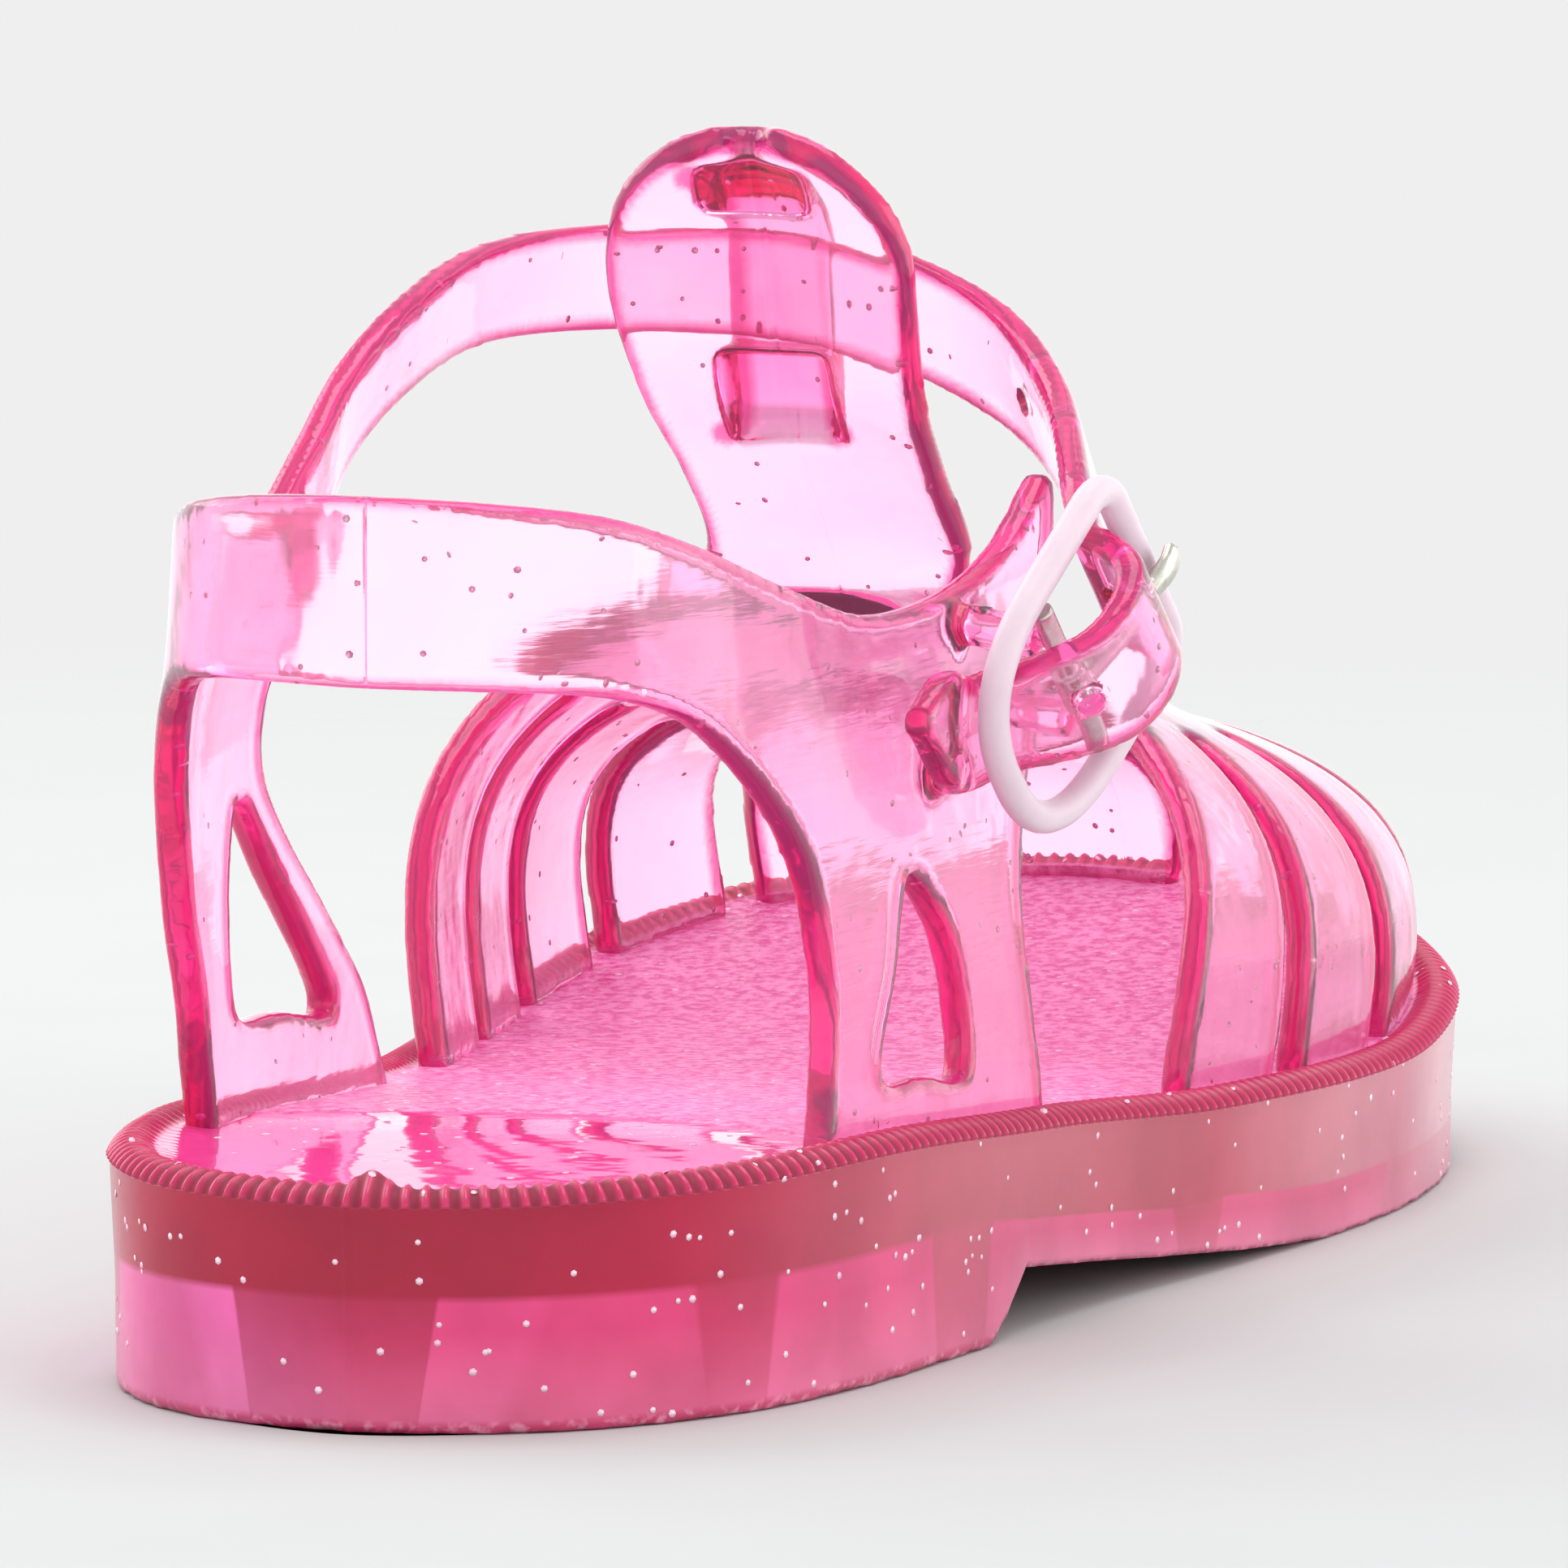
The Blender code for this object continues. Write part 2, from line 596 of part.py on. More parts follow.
def buckle_axes():
    along_axis = np.array(BUCKLE_ALONG) / np.linalg.norm(BUCKLE_ALONG)
    out = np.array(BUCKLE_OUT) - np.dot(BUCKLE_OUT, along_axis) * along_axis
    out /= np.linalg.norm(out)
    return along_axis, np.cross(out, along_axis), out


def in_buckle(run, across, out):
    """Point in the buckle's own directions to millimetres from the heel."""
    a, c, o = buckle_axes()
    return np.array(BUCKLE_CENTRE) + run * a + across * c + out * o


def make_strap():
    """Flat strap swept along its middle line, with rounded edges."""
    across = buckle_axes()[1]
    rows = [(*row[:3], *row[3], row[4]) for row in STRAP]
    rows += [(*in_buckle(*row[:3]), *across, row[3]) for row in STRAP_IN_BUCKLE]
    rows += [(*row[:3], *row[3], row[4]) for row in STRAP_TAIL]
    path = spline(rows, 4)
    points, widths, halves = path[:, :3], path[:, 3:6], path[:, 6]
    ways = np.gradient(points, axis=0)
    bm = bmesh.new()
    rings = []
    thick = STRAP_WALL / 2
    for point, way, width, half in zip(points, ways, widths, halves):
        way = way / np.linalg.norm(way)
        face = np.cross(way, width)
        face /= np.linalg.norm(face)
        width = np.cross(face, way)
        corner = min(0.7, half * 0.5)
        section = [(half - corner, thick), (half, thick * 0.3), (half, -thick * 0.3), (half - corner, -thick)]
        section += [(-w, t) for w, t in reversed(section)]
        rings.append(add_verts(bm, [point + width * w + face * t for w, t in section]))
    for ring, after in zip(rings, rings[1:]):
        bridge(bm, ring, after)
    bm.faces.new(rings[0])
    bm.faces.new(rings[-1])
    return finish(bm, "strap_body", None, cutters)


def make_lugs():
    """Two lugs on the tab that reach out to the buckle's bar."""
    bm = bmesh.new()
    reach = LUG_HALF_LENGTH
    for across in LUG_ACROSS:
        ends = []
        for out in (LUG_FOOT, BAR_OUT - BAR_RADIUS - GAP):
            ends.append([in_buckle(BAR_ALONG + r, across + LUG_WIDTH / 2 * s, out)
                         for r, s in ((-reach, -1), (reach, -1), (reach, 1), (-reach, 1))])
        prism(bm, *ends)
    return finish(bm, "bar_lugs", None, cutters)


def tube(bm, points, radius, sides=10):
    """Round bar along points, closed at both ends."""
    points = [np.array(p) for p in points]
    ways = np.gradient(np.array(points), axis=0)
    across, out = buckle_axes()[1:]
    runs_across = abs(np.dot(ways[0] / np.linalg.norm(ways[0]), across)) > 0.9
    helper = out if runs_across else across
    rings = []
    for point, way in zip(points, ways):
        way = way / np.linalg.norm(way)
        one = np.cross(way, helper)
        one /= np.linalg.norm(one)
        two = np.cross(way, one)
        turns = [2 * math.pi * k / sides for k in range(sides)]
        rings.append(add_verts(bm, [point + radius * (math.cos(t) * one + math.sin(t) * two) for t in turns]))
    for ring, after in zip(rings, rings[1:]):
        bridge(bm, ring, after)
    bm.faces.new(rings[0])
    bm.faces.new(rings[-1])


def make_prong_hole():
    bm = bmesh.new()
    tube(bm, [in_buckle(run, 0.0, out) for run, out in PRONG[1:5]], PRONG_HOLE)
    return finish(bm, "prong_hole", None, cutters)


def make_frame(plastic):
    """Milky D frame: straight front bar, round back."""
    back, front = [], []
    for t in np.linspace(-math.pi / 2, math.pi / 2, 13):
        across = FRAME_HALF * math.copysign(abs(math.sin(t)) ** FRAME_FULLNESS, math.sin(t))
        back.append((FRAME_BACK * math.cos(t) ** FRAME_FULLNESS, across))
    for sign in (1, -1):
        for t in np.linspace(0, math.pi / 2, 4):
            f = t if sign > 0 else math.pi / 2 - t
            front.append((FRAME_FRONT - FRAME_CORNER * (1 - math.sin(f)),
                          sign * (FRAME_HALF - FRAME_CORNER * (1 - math.cos(f)))))
    loop = back + front
    curve = bpy.data.curves.new("buckle_frame", "CURVE")
    curve.dimensions = "3D"
    curve.bevel_depth = FRAME_WIRE * MM
    curve.bevel_resolution = 2
    line = curve.splines.new("POLY")
    line.points.add(len(loop) - 1)
    line.use_cyclic_u = True
    for point, (run, across) in zip(line.points, loop):
        point.co = (*world(in_buckle(run, across, 0.0)), 1.0)
    curve.materials.append(plastic)
    frame = bpy.data.objects.new("buckle_frame", curve)
    parts.objects.link(frame)
    return frame


def make_prong(steel):
    bm = bmesh.new()
    tube(bm, [in_buckle(BAR_ALONG, a, BAR_OUT) for a in (-BAR_HALF, 0.0, BAR_HALF)], BAR_RADIUS)
    bar = finish(bm, "buckle_prong", steel, parts)
    bm = bmesh.new()
    tube(bm, [in_buckle(run, 0.0, out) for run, out in PRONG], PRONG_RADIUS)
    boolean(bar, finish(bm, "prong_finger", None, cutters), "UNION")
    return bar


make_sole(material("sole_pvc", (0.72, 0.06, 0.20), 0.22))
make_cage(material("cage_pvc", (0.95, 0.30, 0.55), 0.15))
make_quarter(material("quarter_pvc", (0.93, 0.28, 0.52), 0.15))
make_frame(material("milky_plastic", (0.86, 0.80, 0.84), 0.35))
make_prong(material("nickel_steel", (0.70, 0.69, 0.66), 0.25, 1.0))
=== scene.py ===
import math
import random

import bmesh
import bpy
import numpy as np
from mathutils import Matrix, Vector
from mathutils.kdtree import KDTree


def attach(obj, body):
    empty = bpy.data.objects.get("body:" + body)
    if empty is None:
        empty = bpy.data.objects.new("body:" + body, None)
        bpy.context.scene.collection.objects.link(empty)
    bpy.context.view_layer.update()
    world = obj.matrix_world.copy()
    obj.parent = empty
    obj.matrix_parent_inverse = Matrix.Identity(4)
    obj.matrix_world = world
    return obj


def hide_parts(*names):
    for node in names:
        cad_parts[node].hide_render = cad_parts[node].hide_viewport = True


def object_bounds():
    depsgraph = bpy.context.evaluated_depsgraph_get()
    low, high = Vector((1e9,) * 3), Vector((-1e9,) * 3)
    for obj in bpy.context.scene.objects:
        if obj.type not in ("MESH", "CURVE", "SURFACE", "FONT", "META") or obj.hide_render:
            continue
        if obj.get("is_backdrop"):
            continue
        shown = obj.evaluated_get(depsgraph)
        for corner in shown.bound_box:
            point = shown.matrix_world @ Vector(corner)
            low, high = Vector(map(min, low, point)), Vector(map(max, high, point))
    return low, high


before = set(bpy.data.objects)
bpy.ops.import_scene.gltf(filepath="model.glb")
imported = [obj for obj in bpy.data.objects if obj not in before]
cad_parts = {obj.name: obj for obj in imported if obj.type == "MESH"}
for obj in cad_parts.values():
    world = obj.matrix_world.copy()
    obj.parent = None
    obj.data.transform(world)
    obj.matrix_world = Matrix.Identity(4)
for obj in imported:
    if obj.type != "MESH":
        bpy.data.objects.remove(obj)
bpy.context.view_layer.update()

# Camera
# A long lens from behind the heel and a little to the outer side, looking slightly down at the shoe.
# Its place and lens were found by fitting the sole's outline in the picture's square frame.
FRAME_PIXELS = 1932
FOCAL_PIXELS = 20116.0
SENSOR = 36.0
EYE = (-1.06375, -0.3454, 0.1609)
LOOK_DOWN = math.radians(6.56)
HEADING = math.radians(18.0)                 # from the toe direction towards the inner side
lens = bpy.data.cameras.new("studio_camera")
lens.sensor_width = SENSOR
lens.lens = FOCAL_PIXELS * SENSOR / FRAME_PIXELS
lens.clip_end = 20.0
camera = bpy.data.objects.new("studio_camera", lens)
camera.location = EYE
camera.rotation_euler = (math.pi / 2 - LOOK_DOWN, 0.0, HEADING - math.pi / 2)
bpy.context.scene.collection.objects.link(camera)
bpy.context.scene.camera = camera

# Sole
# One thick injection moulding of clear pink PVC with glitter: a smooth wall, hollows under it between ribs,
# a ridged bead round the top, and a footbed with a polished heel seat and a leathery-grained forepart.
MM = 0.001
LENGTH = 177.5
HEEL_BACK = (-88.75, 0.9, 0.0)               # the back of the heel in the row frame, in millimetres
PLAN = (
    # x from the heel, outer and inner half breadth
    (2.3, 9.4, 9.6), (7.0, 15.8, 16.5), (15.4, 21.8, 21.8), (27.0, 25.6, 24.4), (45.0, 28.2, 24.8),
    (71.0, 30.6, 26.4), (91.5, 33.9, 29.4), (112.0, 36.4, 33.2), (128.0, 36.3, 35.4), (144.0, 33.4, 34.8),
    (156.4, 27.9, 31.6), (166.8, 19.9, 25.6), (174.1, 9.4, 17.0),
)
TOE_TIP_Y = 4.0
OUTLINE_STEPS = 40                           # points to a span of the plan
# x and height of the wall's upper edge, and of the underside from the heel's front face on
WALL_TOP = ((0, 14.7), (28, 15.1), (58, 13.5), (88, 11.3), (118, 10.6), (148, 12.7), (177.5, 16.2))
UNDERSIDE = (
    (55, 4.4), (64, 3.5), (82, 1.7), (100, 0.25), (106, 0.0), (138, 0.0), (150, 1.3), (163, 3.4),
    (177.5, 6.2),
)
BREAST = (48.5, 55.0)                        # foot and top of the heel's front face
BREAST_BOW = 1.3                             # over 1, that face is hollow
WALL_INSET = 0.35
WALL_FOOT = ((1.5, 0.0), (0.62, 0.12), (0.42, 0.5), (0.4, 0.6))    # inset, height over the lower edge
WALL_FACE = ((1.0, 0.5), (0.2, 0.9))         # share of the wall's inset, share of its height
UNDER_BEAD = ((0.1, 0.12), (0.05, 0.05))     # share of the wall's inset, depth below its upper edge
BEAD = (
    # inset, height over the wall
    (-0.02, 0.02), (0.04, 0.2), (0.24, 0.5), (0.55, 0.82), (0.95, 1.05), (1.4, 1.16), (1.85, 1.14),
    (2.3, 1.0), (2.75, 0.76), (3.1, 0.55),
)
# the way the ridges stand on it, 0 outward and 1 up: at the wall, and what is gained across it
BEAD_TURN = (0.3, 1.6)
RIDGE_PITCH = 1.3
RIDGE_HEIGHT = 0.36
RIDGE_SUNK = 0.35                            # share of a ridge's height below the bead's own face
RIDGE_RUN_OUT = 3.0                          # the ridges run out over the last third of the bead
NUB = (2.6, -1.0, 1.3, 1.2)                  # a nub of flash on the bead: x, y, radius, height
PARTING = (0.13, 0.22, 20.0)                 # a raised mould line at the heel: height, half width, x to
FLASH = 0.05                                 # ragged flash round the foot, in waves
FLASH_WAVES = ((61, 0), (97, 1), (173, 2), (29, 0))                # waves round the sole, phase
FLASH_FROM = 0.5                             # rings of the foot set in further than this are ragged
ROWS = 1300
BED_COLUMNS = 20
SEAT_FRONT = 46.0                            # front edge of the polished heel seat, on the middle line
SEAT_CURVE = 0.028
SEAT_STEP = 0.3
SEAT_SOFT = 0.3                              # length of the step at the seat's edge
SEAT_RIM = 2.0                               # the step fades out this near to the bead
SIDE_WALL = 3.2
CENTRE_RIB = 5.0
RIB_MIDDLE = 1.2                             # the heel's middle rib is seen a little to the inner side
HEEL_DEPTH, ARCH_DEPTH, FORE_DEPTH = 8.8, 3.4, 4.0
POCKETS = (
    # x from, x to, depth of the hollows in the underside
    (4.5, 12.5, HEEL_DEPTH), (16.5, 40.5, HEEL_DEPTH), (59.0, 80.5, ARCH_DEPTH), (87.0, 115.0, FORE_DEPTH),
    (120.0, 139.0, FORE_DEPTH), (144.0, 160.0, ARCH_DEPTH),
)
POCKET_DRAFT = 0.1
POCKET_SLOPE = 0.9                           # length of a hollow's sloping ends
POCKET_LEAST = 2.0                           # a narrower hollow is left out
ROOF_DROPS_FROM = 46.0
ARCH_TO_FORE = (80.0, 88.0)
GLOW_SPANS = (
    # x from, x to, brightness of the painted glow of light through the wall where hollows lie behind it; the
    # wall bends the view of them forwards
    (-9.0, 5.5, 1.0), (5.5, 14.9, 0.75), (18.6, 40.5, 1.0), (47.5, 81.5, 1.0), (86.3, 115.0, 1.0),
    (115.0, 178.0, 0.4),
)
GLOW_LEAN = 1.3                            # how much the painted glow's sides lean in up to the roof
GLOW_BLUR = 0.15


def smooth(rows, x):
    """Smooth curve through rows of x and value that doesn't overshoot."""
    xs, ys = (np.array([row[k] for row in rows], float) for k in (0, 1))
    slope = np.diff(ys) / np.diff(xs)
    tangent = np.zeros(len(xs))
    same = slope[:-1] * slope[1:] > 0
    tangent[1:-1][same] = 2 * slope[:-1][same] * slope[1:][same] / (slope[:-1] + slope[1:])[same]
    tangent[0], tangent[-1] = slope[0], slope[-1]
    x = np.clip(np.asarray(x, float), xs[0], xs[-1])
    k = np.clip(np.searchsorted(xs, x) - 1, 0, len(xs) - 2)
    step = xs[k + 1] - xs[k]
    t = (x - xs[k]) / step
    return ((2 * t**3 - 3 * t**2 + 1) * ys[k] + (t**3 - 2 * t**2 + t) * step * tangent[k]
            + (3 * t**2 - 2 * t**3) * ys[k + 1] + (t**3 - t**2) * step * tangent[k + 1])


def spline(points, per_span, closed=False):
    """Centripetal curve through points, with per_span samples to a span."""
    pts = [np.asarray(p, float) for p in points]
    ends = (pts[-1], pts[0], pts[1]) if closed else (2 * pts[0] - pts[1], 2 * pts[-1] - pts[-2])
    pts = [ends[0]] + pts + list(ends[1:])
    curve = []
    for p0, p1, p2, p3 in zip(pts, pts[1:], pts[2:], pts[3:]):
        t1 = max(np.linalg.norm(p1 - p0), 1e-6) ** 0.5
        t2 = t1 + max(np.linalg.norm(p2 - p1), 1e-6) ** 0.5
        t3 = t2 + max(np.linalg.norm(p3 - p2), 1e-6) ** 0.5
        for t in np.linspace(t1, t2, per_span, endpoint=False):
            a1 = (t1 - t) / t1 * p0 + t / t1 * p1
            a2 = (t2 - t) / (t2 - t1) * p1 + (t - t1) / (t2 - t1) * p2
            a3 = (t3 - t) / (t3 - t2) * p2 + (t - t2) / (t3 - t2) * p3
            b1 = (t2 - t) / t2 * a1 + t / t2 * a2
            b2 = (t3 - t) / (t3 - t1) * a2 + (t - t1) / (t3 - t1) * a3
            curve.append((t2 - t) / (t2 - t1) * b1 + (t - t1) / (t2 - t1) * b2)
    if not closed:
        curve.append(pts[-2])
    return np.array(curve)


def unit(ways):
    """Directions of length 1."""
    return ways / np.linalg.norm(ways, axis=-1, keepdims=True)


def run_of(line):
    """Distance along a line at each of its points."""
    return np.concatenate([[0], np.cumsum(np.linalg.norm(np.diff(line, axis=0), axis=1))])


def along(line, share):
    """Points at shares of a line's length."""
    run = run_of(line)
    at = np.asarray(share) * run[-1]
    return np.stack([np.interp(at, run, line[:, k]) for k in range(line.shape[1])], -1)


def wall_top(x):
    return smooth(WALL_TOP, x)


def footbed(x):
    return wall_top(x) + BEAD[-1][1]


def underside(x):
    x = np.asarray(x, float)
    share = np.clip((x - BREAST[0]) / (BREAST[1] - BREAST[0]), 0, 1)
    return np.where(x < BREAST[1], share ** BREAST_BOW * UNDERSIDE[0][1], smooth(UNDERSIDE, x))


plan_points = ([(0.0, 0.0)] + [(x, -outer) for x, outer, inner in PLAN] + [(LENGTH, TOE_TIP_Y)]
               + [(x, inner) for x, outer, inner in reversed(PLAN)])
outline = spline(plan_points, OUTLINE_STEPS, closed=True)
outline_way = unit(np.roll(outline, -1, axis=0) - np.roll(outline, 1, axis=0))
outline_out = np.stack([outline_way[:, 1], -outline_way[:, 0]], 1)
toe_at = (len(PLAN) + 1) * OUTLINE_STEPS


def side_curve(side, inset):
    """One side of the outline from heel to toe, moved in by inset; side is -1 outer, 1 inner."""
    curve = outline - inset * outline_out
    return curve[:toe_at + 1] if side < 0 else np.vstack([curve[toe_at:], curve[:1]])[::-1]


def to_frame(points):
    """Millimetres from the back of the heel to metres in the row frame."""
    return (np.asarray(points, float) + HEEL_BACK) * MM


def new_piece(name, points, faces, surface):
    """A smooth-shaded mesh piece from points in millimetres and faces, with its normals outward."""
    mesh = bpy.data.meshes.new(name)
    mesh.from_pydata([tuple(p) for p in to_frame(points)], [], faces)
    work = bmesh.new()
    work.from_mesh(mesh)
    bmesh.ops.recalc_face_normals(work, faces=work.faces)
    work.to_mesh(mesh)
    work.free()
    mesh.shade_smooth()
    mesh.materials.append(surface)
    piece = bpy.data.objects.new(name, mesh)
    bpy.context.scene.collection.objects.link(piece)
    return piece


def band(low, high, count):
    """Faces between two rings of count points, which start at the indices low and high."""
    return [(low + k, low + (k + 1) % count, high + (k + 1) % count, high + k) for k in range(count)]


def between(row, after):
    """Faces between two rows of indices."""
    return [(row[c], row[c + 1], after[c + 1], after[c]) for c in range(len(row) - 1)]


def fan(tip, row):
    """Faces between a point and a row of indices."""
    return [(tip, row[c], row[c + 1]) for c in range(len(row) - 1)]


# the ring of stations round the sole: heel, outer side, toe, inner side
station = np.maximum.accumulate(along(side_curve(-1, 0.0), np.linspace(0, 1, ROWS + 1))[:, 0])
ring_xy, ring_out = [], []
for side in (-1, 1):
    line = side_curve(side, 0.0)
    steps = np.arange(len(line))
    place = np.interp(station, np.maximum.accumulate(line[:, 0]), steps)
    place[-1] = steps[-1]
    keep = slice(0, ROWS + 1) if side < 0 else slice(ROWS - 1, 0, -1)
    for values, store in ((line, ring_xy), (line - side_curve(side, 1.0), ring_out)):
        store.append(np.stack([np.interp(place, steps, values[:, k]) for k in (0, 1)], 1)[keep])
ring_xy, ring_out = np.vstack(ring_xy), np.vstack(ring_out)
ring_x = np.concatenate([station, station[-2:0:-1]])
ring_size = len(ring_xy)
ring_run = run_of(ring_xy)
ring_total = ring_run[-1] + np.linalg.norm(ring_xy[0] - ring_xy[-1])
turns = 2 * math.pi * ring_run / ring_total
ridge_count = round(ring_total / RIDGE_PITCH)
ridge = (0.5 + 0.5 * np.cos(2 * math.pi * ridge_count * ring_run / ring_total)) ** 2
parting = PARTING[0] * np.exp(-(ring_xy[:, 1] / PARTING[1]) ** 2) * (ring_x < PARTING[2])
flash = FLASH * sum(np.sin(count * turns + phase) for count, phase in FLASH_WAVES)
lower, upper = underside(ring_x), wall_top(ring_x)
# the hollows' roof is level in the heel, drops to the arch along the breast, and then follows the underside
arch_roof = float(underside(BREAST[1])) + ARCH_DEPTH
heel_roof = np.interp(ring_x, (ROOF_DROPS_FROM, BREAST[1]), (HEEL_DEPTH, arch_roof))
fore_roof = lower + np.interp(ring_x, ARCH_TO_FORE, (ARCH_DEPTH, FORE_DEPTH))
pocket_top = np.where(ring_x < BREAST[1], heel_roof, fore_roof) - lower
inner_xy = ring_xy - SIDE_WALL * ring_out
points, faces = [], []
# what each point tells its material: its height over the lower edge as a share of the hollows' height,
# the place behind it on the hollows' outer side, whether it is on the bead, how deep it lies between two
# ridges there, and whether it is on the footbed
NO_HOLLOW = 9.0
marks = {"level": [], "behind_x": [], "behind_y": [], "on_bead": [], "groove": [], "bed": []}


def add_marks(count, **values):
    """Extends every mark by count points, with zero where no value is given."""
    for name, store in marks.items():
        store.extend(np.broadcast_to(values.get(name, 0.0), count))


def add_ring(inset, height, **values):
    """Adds a ring of points with its marks, and joins it to the ring before."""
    first = len(points)
    points.extend(np.column_stack([ring_xy - (inset - parting)[:, None] * ring_out, height]))
    add_marks(ring_size, **values)
    if first:
        faces.extend(band(first - ring_size, first, ring_size))


wall_rings = [(inset - flash * (inset > FLASH_FROM), rise) for inset, rise in WALL_FOOT]
wall_rings += [(WALL_INSET * share, rise * (upper - lower)) for share, rise in WALL_FACE]
for inset, rise in wall_rings:
    add_ring(inset, lower + rise, level=rise / pocket_top, behind_x=inner_xy[:, 0], behind_y=inner_xy[:, 1])
for share, below in UNDER_BEAD:
    add_ring(WALL_INSET * share, upper - below, level=NO_HOLLOW)
for k, (inset, rise) in enumerate(BEAD):
    share = k / (len(BEAD) - 1)
    lean = math.pi / 2 * min(1.0, BEAD_TURN[0] + share * BEAD_TURN[1])
    stands = min(1.0, (1 - share) * RIDGE_RUN_OUT)
    nub = np.exp(-((ring_xy - inset * ring_out - NUB[:2]) ** 2).sum(axis=1) / NUB[2] ** 2)
    swell = RIDGE_HEIGHT * (ridge - RIDGE_SUNK) * stands * (1 - nub)
    at_bed = k == len(BEAD) - 1
    add_ring(inset - swell * math.cos(lean), upper + rise + swell * math.sin(lean) + NUB[3] * nub,
             level=NO_HOLLOW, on_bead=float(not at_bed), groove=(1 - ridge) * stands, bed=float(at_bed))
top_ring = len(points) - ring_size


def fill_rows(first, rows, bed):
    """Fills a ring that starts at index first with one row of points for each station between the tips."""
    indices = []
    for k, row in enumerate(rows, 1):
        start = len(points)
        points.extend(row)
        indices.append([first + k] + list(range(start, len(points))) + [first + ring_size - k])
        add_marks(len(row), level=NO_HOLLOW, bed=bed)
    for row, after in zip(indices, indices[1:]):
        faces.extend(between(row, after))
    for tip, row in ((first, indices[0]), (first + ROWS, indices[-1])):
        faces.extend(fan(tip, row))


wall_line = []
for side in (-1, 1):
    line = side_curve(side, SIDE_WALL)
    wall_line.append(np.interp(station, np.maximum.accumulate(line[:, 0]), line[:, 1]))
pocket_depth = np.zeros(ROWS + 1)
for x_from, x_to, depth in POCKETS:
    ends = np.clip((station - x_from) / POCKET_SLOPE, 0, 1) * np.clip((x_to - station) / POCKET_SLOPE, 0, 1)
    pocket_depth = np.maximum(pocket_depth, depth * ends)
hollow = (0, 1, 1, 1, 0, 0, 0, 1, 1, 1, 0)   # across the underside: 1 is up in a hollow
under_rows, bed_rows = [], []
for k in range(1, ROWS):
    x, left, right = station[k], points[k], points[ring_size - k]
    wall_l, wall_r = wall_line[0][k], wall_line[1][k]
    fits = wall_l < -CENTRE_RIB - POCKET_LEAST and wall_r > CENTRE_RIB + POCKET_LEAST
    taper = POCKET_DRAFT * (pocket_depth[k] + 1)
    if fits:
        across = (wall_l, wall_l + taper, (wall_l - CENTRE_RIB) / 2, -CENTRE_RIB - taper, -CENTRE_RIB, 0.0,
                  CENTRE_RIB, CENTRE_RIB + taper, (wall_r + CENTRE_RIB) / 2, wall_r - taper, wall_r)
    else:
        across = np.linspace(left[1], right[1], len(hollow) + 2)[1:-1]
    level = float(underside(x))
    under_rows.append([(x, y, level + fits * flag * pocket_depth[k]) for y, flag in zip(across, hollow)])
    left, right = points[top_ring + k], points[top_ring + ring_size - k]
    row = []
    for share in np.linspace(0, 1, BED_COLUMNS + 1)[1:-1]:
        p = left + (right - left) * share
        ahead = p[0] - (SEAT_FRONT - SEAT_CURVE * p[1] ** 2)
        rim = min(share, 1 - share) * abs(right[1] - left[1])
        step = SEAT_STEP / (1 + math.exp(np.clip(ahead / SEAT_SOFT, -50, 50))) * min(1.0, rim / SEAT_RIM)
        row.append((p[0], p[1], footbed(p[0]) - step))
    bed_rows.append(row)
fill_rows(0, under_rows, 0.0)
fill_rows(top_ring, bed_rows, 1.0)


def srgb(code):
    """Hex sRGB colour to linear RGBA."""
    parts = [int(code[k:k + 2], 16) / 255 for k in (1, 3, 5)]
    return (*[c / 12.92 if c <= 0.04045 else ((c + 0.055) / 1.055) ** 2.4 for c in parts], 1.0)


def add(tree, kind, settings=None, links=None):
    """Adds a node with its settings and its incoming links.

    A setting is an attribute, a socket's value or a ramp's stops. A link from a node takes its first output.
    """
    node = tree.nodes.new("ShaderNode" + kind)
    for key, value in (settings or {}).items():
        if key == "stops":
            ramp = node.color_ramp.elements
            ramp.remove(ramp[1])
            for number, (position, shade) in enumerate(value):
                stop = ramp.new(position) if number else ramp[0]
                stop.position = position
                stop.color = srgb(shade) if isinstance(shade, str) else (shade, shade, shade, 1.0)
        elif isinstance(key, str) and hasattr(node, key):
            setattr(node, key, value)
        else:
            node.inputs[key].default_value = value
    for socket, source in (links or {}).items():
        tree.links.new(getattr(source, "outputs", (source,))[0], node.inputs[socket])
    return node


def new_surface(name):
    """A material without nodes yet: the material, its node tree, and the place on the piece in metres."""
    surface = bpy.data.materials.new(name)
    surface.use_nodes = True
    surface.node_tree.nodes.clear()
    return surface, surface.node_tree, add(surface.node_tree, "TexCoord").outputs["Object"]


# Plasticised PVC, injection moulded against a polished steel mould. Crimson and almost solid to the eye where
# it is thick, with a painted pink glow where a hollow lies behind it, a painted haze that pales it towards
# the toe and painted shade in the bead's grooves; glossy on the heel seat and satin on the forepart.
sole_pvc, tree, place = new_surface("clear_pvc_sole")
spot = add(tree, "SeparateXYZ", links={0: place})
level, behind_x, behind_y, on_bead, groove, bed = (
    add(tree, "Attribute", {"attribute_name": name}).outputs["Fac"] for name in marks)
half_length = LENGTH / 2 * MM
lengthwise = add(tree, "MapRange", {"From Min": -half_length, "From Max": half_length},
                 {"Value": spot.outputs["X"]})
wall_tint_and_haze_stops = (
    # share of the length from the heel, colour of the thick wall, with a painted haze of reflected light that
    # makes it paler towards the toe
    (0.0, "#AC0436"), (0.056, "#B8083F"), (0.124, "#BC3454"), (0.25, "#C45468"), (0.48, "#C24C62"),
    (0.6, "#D58090"), (0.665, "#D27088"), (0.75, "#E4A6B4"), (0.82, "#E298AC"), (1.0, "#E6A4B6"),
)
